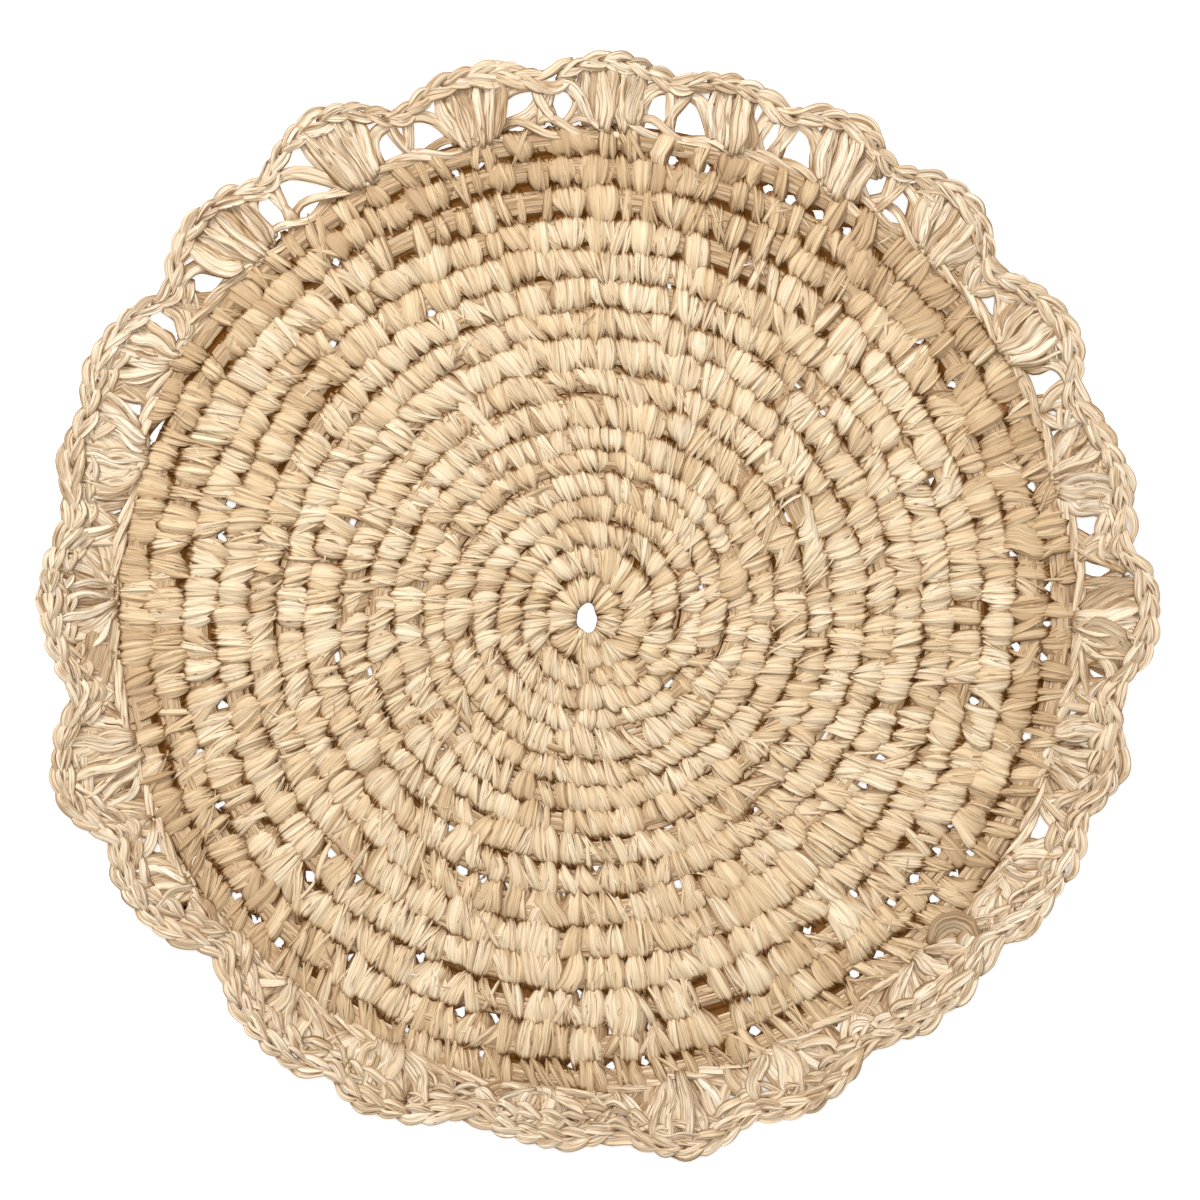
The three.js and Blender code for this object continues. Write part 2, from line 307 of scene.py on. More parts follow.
def curl(bearing, radius):
    """How far the edging curls up: nothing at its seat, and the shell's full lift at the rim."""
    seat = seat_radius(bearing)
    out = np.clip((radius - seat) / (rim_radius(bearing) - seat), 0.0, 1.2)
    return between_shells(column("lift"), bearing) * out * out


# ---- Meshes ------------------------------------------------------------------------------

# A quad's corners, as steps along and across its strip.
QUAD = ((0, 0), (0, 1), (1, 1), (1, 0))
# What each strip fills of its cell of the map: from and to, along an open strip, along a closed
# one, and across both. A closed strip's ends are ovals beside it, with these middles and halves.
OPEN_SPAN, CLOSED_SPAN, ACROSS_SPAN = (0.04, 0.96), (0.16, 0.84), (0.06, 0.94)
HEAD, TAIL, OVAL = np.array((0.08, 0.5)), np.array((0.92, 0.5)), (0.055, 0.40)


def section_angles(sides, turned=0.0):
    """The angles of a round section's corners, turned by a share of the step between them."""
    return 2.0 * np.pi * (np.arange(sides) + turned) / sides


def atlas(count, wide, tall):
    """Cells of a square map for many like strips: the lower corner of each cell, and its size."""
    across = max(1, int(np.ceil(np.sqrt(count * tall / wide))))
    down = int(np.ceil(count / across))
    index = np.arange(count)
    corner = np.stack(((index % across) / across, (index // across) / down), axis=-1)
    return corner, np.array((1.0 / across, 1.0 / down))


def strip_map(strips, along, spans, closed):
    """The map coordinates of every quad's corners, and then of closed strips' ends."""
    corner, cell = atlas(strips, along - 1, spans)
    u = np.linspace(*(CLOSED_SPAN if closed else OPEN_SPAN), along)
    v = np.linspace(*ACROSS_SPAN, spans + 1)
    uv = np.empty((strips, along - 1, spans, 4, 2))
    for index, (du, dv) in enumerate(QUAD):
        uv[:, :, :, index, 0] = u[du:along - 1 + du][None, :, None]
        uv[:, :, :, index, 1] = v[dv:spans + dv][None, None, :]
    uv = corner[:, None, None, None, :] + uv * cell
    if not closed:
        return uv.reshape(-1, 2)
    turn = section_angles(spans)
    oval = np.stack((OVAL[0] * np.cos(turn), OVAL[1] * np.sin(turn)), axis=-1)
    ends = [corner[:, None, :] + around * cell for around in (HEAD + oval[::-1], TAIL + oval)]
    return np.concatenate([part.reshape(-1, 2) for part in (uv, *ends)])


def new_piece(name, grids, material, closed=False):
    """A mesh piece from strips that share one grid size.

    grids holds points (strips, along, across, 3) in metres, strand coordinates of the same shape
    in millimetres, and tints (strips, along, across, 4). Each strip is a sheet of quads; a closed
    one joins its last column to its first and has both ends filled. Each strip has a cell of its
    own in the map OFBake. Edges along a strip are sharp, so that it looks folded, not swollen.
    """
    points, strand, tint = grids
    strips, along, across = points.shape[:3]
    spans = across if closed else across - 1
    number = np.arange(strips * along * across).reshape(strips, along, across)
    left, right = number[:, :, :spans], np.roll(number, -1, axis=2)[:, :, :spans]
    quads = np.stack((left[:, :-1], right[:, :-1], right[:, 1:], left[:, 1:]), axis=-1)
    loops = quads.reshape(-1)
    starts = np.arange(0, len(loops), 4)
    if closed:
        ends = np.concatenate((number[:, 0, ::-1].reshape(-1), number[:, -1, :].reshape(-1)))
        starts = np.concatenate((starts, len(loops) + np.arange(2 * strips) * across))
        loops = np.concatenate((loops, ends))
    mesh = bpy.data.meshes.new(name)
    mesh.vertices.add(number.size)
    mesh.loops.add(len(loops))
    mesh.polygons.add(len(starts))
    mesh.vertices.foreach_set("co", points.astype(np.float32).ravel())
    mesh.loops.foreach_set("vertex_index", loops.astype(np.int32))
    mesh.polygons.foreach_set("loop_start", starts.astype(np.int32))
    mesh.polygons.foreach_set("use_smooth", np.ones(len(starts), dtype=bool))
    mesh.update(calc_edges=True)
    edges = np.empty(len(mesh.edges) * 2, dtype=np.int32)
    mesh.edges.foreach_get("vertices", edges)
    lengthwise = np.abs(edges[0::2] - edges[1::2]) == across
    mesh.attributes.new("sharp_edge", "BOOLEAN", "EDGE").data.foreach_set("value", lengthwise)
    uvs = strip_map(strips, along, spans, closed)
    mesh.uv_layers.new(name="OFBake").data.foreach_set("uv", uvs.astype(np.float32).ravel())
    for label, kind, key, values in (("strand", "FLOAT_VECTOR", "vector", strand),
                                     ("tint", "FLOAT_COLOR", "color", tint)):
        data = mesh.attributes.new(label, kind, "POINT").data
        data.foreach_set(key, values.astype(np.float32).ravel())
    mesh.materials.append(material)
    piece = bpy.data.objects.new(name, mesh)
    bpy.context.scene.collection.objects.link(piece)
    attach(piece, "root")
    return piece


def strand_coordinates(width, length, seed, columns):
    """Fibre coordinates of strips: distance across, distance along, and a number for each strip.

    width (strips,) and length (strips, along) are in millimetres. columns holds each column's
    place from -1 to 1 across the strip. The number also moves each strip to fibres of its own.
    """
    seed = by_strip(seed)
    across = columns * by_strip(width) + seed * 3.7
    along = length[:, :, None] + seed * 11.3
    return np.stack(np.broadcast_arrays(across, along, seed), axis=-1)


def tints(tone, shade, shape, fold_shade=0.5):
    """Tint attribute on the strips' grid: tone in red, painted shade in green, and in blue how
    strongly the painted fold lines show.
    """
    channels = [np.broadcast_to(values, shape) for values in (tone, shade, fold_shade, 1.0)]
    return np.stack(channels, axis=-1)


# ---- The close-worked disc -----------------------------------------------------------------

# The coil's sides and the steps along it, the pitch of its wraps, and how far a gap reaches.
COIL_SIDES, COIL_STEP, COIL_WRAP, COIL_GAP = 8, 1.9, 5.7, 1.9
# The straw core: strands side by side, lengths laid end to end with a lap, sides and steps.
STRAWS, STRAW_LENGTHS, STRAW_LAP, STRAW_SIDES, STRAW_STEP = 4, 60, 1.08, 6, 6.4


def build_coil(settings, material):
    """The body under the stitches: a flattened oval section carried along the spiral.

    The section is a half-width times the cosine and a half-height times the sine of its angle,
    raised so that it rests on the ground. It draws in at each see-through gap, and its surface
    swells and dips once for each wrap.
    """
    rng = np.random.default_rng(11)
    bearings, length = spiral_run(SPIRAL_OPENS, SPIRAL_CLOSES)
    stations = np.arange(0.0, length[-1], COIL_STEP)
    beta = np.interp(stations, length, bearings)
    middle, width = row_at(beta)
    reach = np.degrees(COIL_GAP / middle)[:, None]

    def opened(turned):
        """How far the gaps draw in one side of the coil, for gaps moved on by some degrees."""
        away = (beta[:, None] - gap_bearings() - turned) / reach
        return np.exp(-away ** 4).max(axis=1)[:, None]

    angle = section_angles(COIL_SIDES)
    cos, sin = np.cos(angle), np.sin(angle)
    # each gap opens the inner side of its own turn and the outer side of the turn within it
    side = np.where(cos > 0, opened(FULL_TURN), opened(0.0))
    half = width[:, None] / 2.0 * 1.04 * (1.0 - 0.36 * side)
    phase = stations * 2.0 * np.pi / COIL_WRAP + 1.5 * rng.normal(size=len(stations))
    swell = 1.0 + 0.10 * np.sin(phase)
    taper = smoothstep(0.0, 14.0, stations) * smoothstep(0.0, 9.0, length[-1] - stations)
    taper = (0.25 + 0.75 * taper)[:, None]
    radius = middle[:, None] + np.sign(cos) * np.abs(cos) ** 0.85 * half * taper
    oval = 1.0 + np.sign(sin) * np.abs(sin) ** 0.8
    height = settings.coil_height / 2.0 * taper * oval * swell[:, None]
    points = place(beta[:, None], radius, np.maximum(height, 0.02))[None]
    strand = np.stack(np.broadcast_arrays(stations[:, None], angle * 4.0, 0.0), axis=-1)[None]
    # painted shade: the coil is browner and shaded all over, its sides more than its top
    tint = tints(0.7, np.where(sin > 0.3, 0.62, 0.88), points.shape[:3])
    piece = new_piece("ground_coil", (points, strand, tint), material, closed=True)
    lay_in_rows(piece, len(stations), COIL_SIDES)
    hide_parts("disc")


def lay_in_rows(piece, along, across):
    """Folds the map of one very long closed strip into rows, one above the other."""
    rows = int(np.ceil(np.sqrt((along - 1) / across)))
    length = int(np.ceil((along - 1) / rows))
    row, place_in_row = np.divmod(np.arange(along - 1), length)
    uv = np.empty((along - 1, across, 4, 2))
    for corner, (du, dv) in enumerate(QUAD):
        share = 0.92 * (np.arange(across) + dv) / across
        uv[:, :, corner, 0] = ((place_in_row + du) / length)[:, None]
        uv[:, :, corner, 1] = (row[:, None] + 0.04 + share) / (rows + 1)
    ring = np.arange(across)
    caps = np.stack((0.5 + 0.01 * np.cos(ring), 0.99 + 0.004 * np.sin(ring)), axis=-1)
    whole = np.concatenate((uv.reshape(-1, 2), caps, caps - (0.1, 0.0)))
    piece.data.uv_layers["OFBake"].data.foreach_set("uv", whole.astype(np.float32).ravel())


def build_straw(settings, material):
    """The core: straw and raffia strands side by side along each row, seen between stitches."""
    rng = np.random.default_rng(12)
    bearings, length = spiral_run(SPIRAL_OPENS + 4, SPIRAL_CLOSES - 300)
    run = length[-1] / STRAW_LENGTHS
    along = int(run * STRAW_LAP / STRAW_STEP)
    count = STRAWS * STRAW_LENGTHS
    lane = np.tile(np.arange(STRAWS) - 1.5, STRAW_LENGTHS) + 0.12 * rng.normal(size=count)
    start = np.repeat(np.arange(STRAW_LENGTHS) * run, STRAWS) + rng.uniform(-9, 9, count)
    stations = np.clip(start[:, None] + np.linspace(0, run * STRAW_LAP, along), 0, length[-1])
    beta = np.interp(stations, length, bearings)
    middle, width = row_at(beta)
    wander = np.stack([drift(rng, along, 6) for _ in range(count)]) * 0.14
    # the bundle is heaped: narrow in the outer turns, and lower towards its sides
    apart = 1.70 + 0.45 * smoothstep(3.0, 5.0, (beta - SPIRAL_START) / FULL_TURN)
    radius = middle + (lane[:, None] * apart + wander) * np.minimum(1.0, width / 10.0)
    height = settings.core_height + 0.20 * rng.normal(size=(count, 1)) + 0.2 * wander
    height = height - 0.95 * np.maximum(np.abs(lane[:, None]) - 0.5, 0.0)
    thickness = by_strip(rng.uniform(0.90, 1.40, count))
    # the corners run round the section so that its faces point outwards
    angle = section_angles(STRAW_SIDES)[::-1]
    across, up = np.cos(angle), 0.62 * np.sin(angle)
    points = place(beta[:, :, None], radius[:, :, None] + across * thickness,
                   height[:, :, None] + up * thickness)
    seed = by_strip(rng.uniform(0, 400, count))
    strand = np.stack(np.broadcast_arrays(across + seed, stations[:, :, None], seed), axis=-1)
    tone = by_strip(0.02 + 0.38 * rng.random(count))
    # all but the inner underside of each strand is in shade
    lit = (angle > 0.9 * np.pi) & (angle < 1.5 * np.pi)
    tint = tints(tone, np.where(lit, 0.0, 0.50), points.shape[:3], 0.30)
    piece = new_piece("straw_core", (points, strand, tint), material, closed=True)
    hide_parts("disc")


# Across a wrap, from its outer end to its tip: the distance from the row's middle in half rows
# (outwards is positive), the height, and the width of a petal-shaped and of a block-shaped stitch.
WRAP = np.array([
    (1.06, 2.20, 0.76, 0.88),
    (0.97, 3.00, 0.85, 0.93),
    (0.80, 3.85, 0.96, 0.99),
    (0.55, 4.60, 1.07, 1.05),
    (0.24, 5.15, 1.13, 1.08),
    (-0.10, 5.40, 1.14, 1.09),
    (-0.44, 5.38, 1.10, 1.07),
    (-0.74, 5.08, 1.02, 1.03),
    (-0.99, 4.62, 0.92, 0.97),
    (-1.18, 4.05, 0.80, 0.89),
    (-1.30, 3.35, 0.68, 0.80),
    (-1.34, 2.60, 0.57, 0.71),
])
# How far a wrap's surface falls towards the sides of its stitch, and its lowest place, in mm.
PILLOW_FALL, WRAP_FOOT = 1.15, 1.7
# Where the lines of a ribbon lie across it (-1 to 1), and along it (0 to 1): for the body of a
# stitch, the thin bands over it, and the strips between. More lines lie where it turns under.
BODY_GRID = (np.array((-1.0, -0.55, 0.0, 0.55, 1.0)),
             np.array((0.0, 0.12, 0.20, 0.34, 0.52, 0.70, 0.87, 1.0)))
BAND_GRID = (np.array((-1.0, -0.5, 0.0, 0.5, 1.0)),
             np.array((0.0, 0.12, 0.20, 0.28, 0.42, 0.58, 0.74, 0.88, 1.0)))
STRIP_GRID = (np.array((-1.0, -0.82, -0.56, -0.28, 0.0, 0.28, 0.56, 0.82, 1.0)),
              np.array((0.0, 0.11, 0.18, 0.23, 0.28, 0.42, 0.58, 0.74, 0.88, 1.0)))
# The stitches' spacing in turns of the spiral, as shares of the set spacing.
PITCH_TURNS, PITCH = (0.0, 3.0, 4.0, 15.0, 16.0), (1.37, 1.16, 1.0, 1.0, 0.56)
# The share of stitches with bare straw beside them, in each turn: by the near and the far edge.
BARE_NEAR = np.array((0.42, 0.12, 0.12, 0.06) + (0.03,) * 13)
BARE_FAR = np.array((0.85, 0.42, 0.55, 0.25) + (0.03,) * 13)
# The shares of stitches with one, two and three broad strips, and of those with a thin band.
STRIP_SHARES, BAND_SHARE = (0.30, 0.44, 0.26), 0.60


def stitch_table(settings):
    """Every close stitch: its bearing along the spiral, width, lean, height, tone and shape."""
    rng = np.random.default_rng(21)
    bearings, length = spiral_run(SPIRAL_OPENS + 1, SPIRAL_CLOSES)
    turns = (bearings - SPIRAL_START) / FULL_TURN
    pitch = np.interp(turns, PITCH_TURNS, PITCH) * settings.stitch_spacing
    # the outermost rows are worked closer and more slanted along the near edge
    near_edge = smoothstep(0.2, 0.7, -np.cos(np.radians(bearings))) * smoothstep(1.6, 0.9, turns)
    pitch = pitch * (1.0 - 0.38 * near_edge)
    fine = np.concatenate(((0.0,), np.cumsum(np.diff(length) / pitch[:-1])))
    steps = np.exp(0.25 * rng.normal(size=int(fine[-1])))
    ticks = np.cumsum(steps / steps.mean())
    ticks = ticks[ticks < fine[-1]]
    count = len(ticks)
    beta = np.interp(ticks, fine, bearings)
    middle, width = row_at(beta)
    turn = np.floor((beta - SPIRAL_START) / FULL_TURN + 0.15).astype(int).clip(0, len(SPIRAL) - 1)
    # stitches lean less towards the mat's edge, which lies at 1, and hardly at all at the eye
    edge = middle / 165.0
    lean = 22.0 - 12.0 * smoothstep(0.35, 0.9, edge)
    lean = lean + 6.0 * drift(rng, count, 3) + 10.0 * rng.normal(size=count)
    lean = np.where(middle < 12.0, 4.0 * rng.normal(size=count), lean)
    lean = lean + 17.0 * np.interp(ticks, fine, near_edge)
    # the straw shows most in the outer rows, and there most along the far edge
    far_edge = smoothstep(0.45, 0.85, np.cos(np.radians(beta)))
    near, far = BARE_NEAR[turn], BARE_FAR[turn]
    bare = rng.random(count) < near + (far - near) * far_edge
    cover = np.where(bare, 0.55, 1.08) + 0.06 * rng.normal(size=count)
    # the outermost rows are browner and blockier
    tone = 0.30 + 0.09 * drift(rng, count, 5) + 0.08 * rng.normal(size=count)
    tone = tone + 0.50 * smoothstep(0.82, 0.96, edge)
    petal = rng.uniform(0.30, 1.20, count) - 0.55 * smoothstep(0.72, 0.86, edge)
    return {
        "beta": beta, "middle": middle, "width": width, "turn": turn, "tone": tone,
        "spacing": np.gradient(np.interp(ticks, fine, length)) * cover,
        "lean": np.clip(lean, -14.0, 52.0), "petal": np.clip(petal, -0.2, 1.15),
        "bulk": 1.0 + 0.09 * rng.normal(size=count),
        "sway": 0.45 * drift(rng, count, 2) + 0.40 * rng.normal(size=count),
        "lap": 0.12 * rng.normal(size=count), "bare": bare.astype(float),
    }


def wrap_ribbons(stitches, owner, plan, lines, rng):
    """Ribbons wrapped over the rows, as the grids that new_piece takes.

    A ribbon follows the table WRAP across its row, from under the tips of the row outside it, over
    its crest, to a tip that laps over the row inside it. It shifts along the row by its lean.
    Across the whole stitch the surface falls away to both sides like a pillow. lines holds the
    places across a ribbon (-1 to 1) and along it (0 to 1). owner gives each ribbon's stitch. plan
    holds, for each ribbon: where its middle lies in the stitch (-1 to 1), its half-width in
    millimetres, its lean in degrees, its level over the stitch, its roll to one side, the depth
    of its pleats and of its edges, and its tone.
    """
    columns, stations = lines
    half_mm = plan[1]
    ribbons, wide = len(owner), len(columns)
    q, half, lean, level, roll, pleat, edge, tone = (by_strip(values) for values in plan)
    stitch = {name: by_strip(values[owner]) for name, values in stitches.items()}
    t = stations[None, :, None]
    out, tall, petal, block = (
        np.interp(stations, np.linspace(0.0, 1.0, len(WRAP)), values)[None, :, None]
        for values in WRAP.T)
    inwards = out < 0
    wobble = 0.08 * rng.normal(size=(ribbons, 1, wide)).clip(-1.6, 1.6)
    s = columns + wobble * (np.abs(columns) < 0.7)
    half = half / (stitch["spacing"] / 2.0)
    across = q + half * s

    # the surface over the stitch: pillow, level, roll, pleats, waves and turned-down edges
    fold = rng.normal(size=(ribbons, 1, wide))
    wave = ripples(rng, ribbons, len(stations), wide)
    hump = half_wave(stations, 0.84, 0.08, 0.6)[None, :, None]
    gathered = smoothstep(0.30, 1.0, np.abs(2.0 * t - 1.0))
    rim = smoothstep(0.76, 1.0, np.abs(s))
    pleats = pleat * (0.8 * fold + 0.7 * wave) * (0.60 + 0.70 * gathered) * (1.0 - 0.5 * rim)
    normal = (-PILLOW_FALL * np.minimum(np.abs(across), 1.25) ** 3 + level
              + roll * s * (1.0 - 0.6 * t) + pleats - edge * rim)

    # across the row: the wrap's outline, with a ragged tip and a frayed root
    lap = 1.0 + np.where(inwards, 0.13, 0.06) * by_strip(rng.normal(size=ribbons))
    reach = stitch["width"] / 2.0 * (lap + inwards * stitch["lap"])
    tip = smoothstep(0.70, 1.0, t)
    ragged = rng.normal(size=(ribbons, 1, wide)) * smoothstep(0.72, 1.0, t) * 0.35
    frayed = rng.normal(size=(ribbons, 1, wide)) * smoothstep(0.22, 0.0, t) * 0.55
    radial = out * reach - (ragged + 0.6 * tip * (1.0 - s * s)) + stitch["sway"]
    height = WRAP_FOOT + (tall - WRAP_FOOT) * stitch["bulk"] + frayed
    slope_r = np.gradient(out * reach, axis=1)
    slope_z = np.broadcast_to(np.gradient(tall, axis=1), slope_r.shape)
    run = np.hypot(slope_r, slope_z)
    radial = radial + normal * slope_z / run
    height = height - normal * slope_r / run

    # along the row: the lean, a bend of its own and the stitch's outline
    shift = np.tan(np.radians(lean)) * stitch["width"] * (t - 0.5)
    bend = by_strip(rng.normal(size=ribbons) * 0.4) * hump
    profile = block + (petal - block) * stitch["petal"]
    own = 1.0 + by_strip(rng.normal(size=ribbons) * 0.25) * (t - 0.5)
    sideways = stitch["spacing"] / 2.0 * profile * (q + half * s * own)
    bearing = stitch["beta"] + np.degrees((sideways + shift + bend) / stitch["middle"])
    radius = np.maximum(stitch["middle"] + radial, eye_radius(bearing))
    points = place(bearing, radius, np.maximum(height, 0.4))
    moves = room_for(*through_gaps(), points[..., :2].mean(axis=2) / MM,
                     half_mm[:, None] * profile[:, :, 0])
    points[..., :2] += MM * moves[:, :, None, :]

    seed = rng.uniform(0.0, 900.0, ribbons)
    strand = strand_coordinates(half_mm, stitch["width"][:, :, 0] * 1.4 * stations, seed, s)
    # shade: the root under the next row, the tip, the edges, the side rolled under, the sides of
    # the stitch, whatever lies low, and the turned-down sides of a stitch with bare straw beside it
    turned = s * np.sign(roll)
    root = 0.55 + 0.33 * smoothstep(10.0, 40.0, stitch["middle"])
    shade = (smoothstep(0.245, 0.185, t) * root + 0.12 * smoothstep(0.87, 1.0, t) + 0.18 * rim
             + (0.66 + 0.28 * gathered) * smoothstep(0.46, 0.92, -turned)
             + 0.55 * smoothstep(0.74, 1.12, np.abs(across)) * (0.35 + 0.65 * gathered)
             + 1.15 * np.clip(-level, 0.0, 1.0) * (0.72 + 0.28 * gathered)
             + 0.55 * stitch["bare"] * smoothstep(0.62, 1.05, np.abs(across)))
    # painted highlight: each ribbon's raised edge is paler
    tone = tone - 0.16 * smoothstep(0.50, 0.95, turned)
    # painted fold shade shows most where the ribbon is gathered at its ends
    fold_shade = 0.27 + 0.73 * gathered
    return points, strand, tints(tone, np.clip(shade, 0, 1), points.shape[:3], fold_shade)


def build_stitches(settings, material):
    """The close stitches: a pleated body for each, and strips of raffia over it."""
    rng = np.random.default_rng(22)
    stitches = stitch_table(settings)
    half_stitch, lean, tone = stitches["spacing"] / 2.0, stitches["lean"], stitches["tone"]
    count = len(tone)
    # painted shade: the body shows only between the strips, so it is browner and shaded for lying
    # low
    body = (np.zeros(count), half_stitch * 1.06, lean, np.full(count, -0.62),
            0.10 * rng.normal(size=count), np.full(count, 0.14), np.full(count, 0.8), tone + 0.25)
    grids = wrap_ribbons(stitches, np.arange(count), body, BODY_GRID, rng)
    lay_stitches("ground_bodies", grids, np.zeros(count, int), material)

    # one to three broad strips share a stitch: portion is each one's part of its width
    many = rng.choice((1, 2, 3), size=count, p=STRIP_SHARES)
    owner = np.repeat(np.arange(count), many)
    strips = len(owner)
    shared = many[owner] > 1
    split = np.exp(0.30 * rng.normal(size=strips))
    portion = split / np.bincount(owner, split, count)[owner]
    before = np.cumsum(portion) - portion
    before = before - before[np.concatenate(((0,), np.cumsum(many)[:-1]))[owner]]
    q = (before + portion / 2.0) * 2.0 - 1.0 + 0.06 * rng.normal(size=strips)
    half_mm = half_stitch[owner] * portion * np.where(shared, 1.30, 1.10)
    leans = lean[owner] + np.where(shared, 13.0, 6.0) * rng.normal(size=strips)
    level = 0.10 + 0.26 * rng.random(strips)
    side = np.where(rng.random(count) < 0.85, 1.0, -1.0)[owner]
    roll = side * (0.12 + 0.13 * half_mm) + 0.10 * rng.normal(size=strips)
    tones = tone[owner] + (0.06 + 0.19 * tone[owner]) * rng.normal(size=strips)
    plan = (q, half_mm, leans, level, roll, 0.14 + 0.12 * half_mm, np.full(strips, 0.26), tones)
    grids = wrap_ribbons(stitches, owner, plan, STRIP_GRID, rng)
    left = np.mod(stitches["beta"], FULL_TURN) >= 180.0
    lay_stitches("ground_strips", grids, (stitches["turn"] % 3 * 2 + left)[owner], material)

    owner = np.arange(count)[rng.random(count) < BAND_SHARE]
    bands = len(owner)
    half_mm = rng.uniform(0.30, 1.25, bands)
    leans = np.clip(lean[owner] + rng.normal(size=bands) * 24.0, -45, 58)
    plan = (rng.uniform(-0.8, 0.8, bands), half_mm, leans, rng.uniform(0.40, 0.62, bands),
            0.12 * rng.normal(size=bands), np.full(bands, 0.05), np.full(bands, 0.30),
            tone[owner] - 0.04 + 0.12 * rng.normal(size=bands))
    grids = wrap_ribbons(stitches, owner, plan, BAND_GRID, rng)
    lay_stitches("ground_bands", grids, np.zeros(bands, int), material)


def lay_stitches(name, grids, lot, material):
    """Makes one piece of each lot of ribbons."""
    for number in range(lot.max() + 1):
        piece = new_piece(f"{name}_{number + 1}", [grid[lot == number] for grid in grids],
                          material)
        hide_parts("disc")


def room_for(holes, radii, centre, half, spread=4.6):
    """Sideways moves, in millimetres, that lead ribbons round the see-through gaps.

    centre is (ribbons, along, 2) and half (ribbons, along). Where a ribbon's middle line passes a
    gap's middle nearer than the gap's radius plus half its own width, it moves aside until it
    doesn't, most at the nearest point and less before and after it.
    """
    shift = np.zeros_like(centre)
    rows = np.arange(len(centre))
    tangent = np.gradient(centre, axis=1)
    tangent /= np.maximum(np.linalg.norm(tangent, axis=-1, keepdims=True), 1e-6)
    for hole, radius in zip(holes, radii):
        away = centre + shift - hole
        distance = np.linalg.norm(away, axis=-1)
        near = distance.argmin(axis=1)
        close = distance[rows, near] < radius + 5.0
        if not close.any():
            continue
        index, near = rows[close], near[close]
        ahead = tangent[index, near]
        normal = np.stack((-ahead[:, 1], ahead[:, 0]), axis=-1)
        offset = (away[index, near] * normal).sum(axis=-1)
        past = np.abs((away[index, near] * ahead).sum(axis=-1))
        push = np.sign(offset) * np.maximum(radius + half[index, near] - np.abs(offset), 0.0)
        push *= smoothstep(radius + 3.0, radius, past)
        run = (away[index] * ahead[:, None, :]).sum(axis=-1)
        weight = np.exp(-(run / (radius + spread)) ** 2)
        shift[index] += weight[..., None] * (push[:, None] * normal)[:, None, :]
    return shift


# ---- The edging ----------------------------------------------------------------------------

# Gaps of the lace: bearing, radius, half width along the mat's edge and half length across it.
LACE = np.array([
    (352.0, 175.9, 3.0, 4.0), (357.4, 176.2, 3.0, 3.4), (8.0, 176.2, 2.9, 4.0),
    (20.7, 177.0, 2.8, 4.0), (24.2, 177.6, 2.8, 3.7), (33.7, 177.2, 3.0, 3.6),
    (37.2, 177.2, 2.7, 3.0), (62.6, 178.2, 2.6, 3.0), (66.6, 177.0, 1.8, 2.3),
    (79.4, 177.4, 2.4, 2.8), (84.8, 175.8, 2.0, 2.2), (96.0, 175.4, 2.1, 2.6),
    (126.8, 172.0, 2.2, 2.2), (158.9, 171.2, 2.4, 2.7), (163.2, 172.6, 1.7, 2.3),
    (243.4, 171.4, 2.5, 2.2), (305.0, 175.4, 2.4, 3.5), (311.0, 174.4, 3.2, 3.6),
    (322.0, 176.6, 3.0, 4.2), (325.4, 177.6, 3.1, 3.7), (337.0, 175.6, 2.5, 2.8),
    (341.4, 175.0, 3.2, 3.5), (10.9, 171.5, 2.2, 4.0), (3.2, 167.8, 1.6, 1.4),
    (7.2, 169.4, 1.2, 1.2), (34.0, 168.9, 1.4, 1.5), (37.2, 172.0, 1.6, 1.5),
    (321.5, 167.2, 1.7, 1.6), (325.0, 168.6, 1.4, 1.4), (343.5, 167.5, 1.7, 1.5),
    (351.8, 168.4, 1.7, 1.5), (355.5, 168.6, 1.3, 1.3), (359.0, 168.5, 1.5, 1.4),
    (18.7, 180.6, 0.9, 2.4),
])
# How far before and after a lace gap the strands bend round it.
LACE_SPREAD = 6.5
# Strands of the edging: sides of their section, and stations along a fan's strand, a post, a
# leaf of the webs, a strand of the foot chain, a leg of the plait and a loose fibre.
TUBE_SIDES = 10
FAN_STEPS, POST_STEPS, WEB_STEPS, CHAIN_STEPS, PLAIT_STEPS, FIBRE_STEPS = 12, 10, 9, 17, 11, 6
# Strands in a shell's upper and lower layer, in each leg of a post, in each wing, leaves at each
# dip, strands of the foot chain, and loose fibres in all.
FAN_LAYERS, LEG_STRANDS, WING_STRANDS, WEB_LEAVES, CHAIN_STRANDS, FIBRES = (12, 7), 2, 3, 12, 3, 150
# The strands' half-widths, in mm.
FAN_HALF, WING_HALF, WEB_HALF, CHAIN_HALF = 2.10, 2.0, 2.5, 1.55
# The rim's two rows of links: inset from the rim, spacing and length of the links, how far their
# legs stand apart, the legs' width, their height over the plait's foot, how unruly they are, their
# tone, the least lift of a shell that has them, and the seed.
PLAIT = (3.7, 8.0, 13.5, 2.4, 1.70, 1.2, 0.7, 0.30, -9.0, 34)
LOOPS = (8.8, 8.0, 10.5, 2.4, 1.80, 0.6, 2.6, 0.36, 3.6, 35)


def lace_gaps():
    """The lace gaps as round openings: long ones are two rounds, one outside the other."""
    bearing, radius, wide, long = LACE.T
    size = np.minimum(wide, long)
    slip = np.maximum(long - size, 0.0)
    middles = [flat_place(bearing, radius + slip), flat_place(bearing, radius - slip)]
    return np.concatenate(middles), np.concatenate((size, size))


def unit(vectors):
    """Vectors of length 1."""
    return vectors / np.maximum(np.linalg.norm(vectors, axis=-1, keepdims=True), 1e-6)


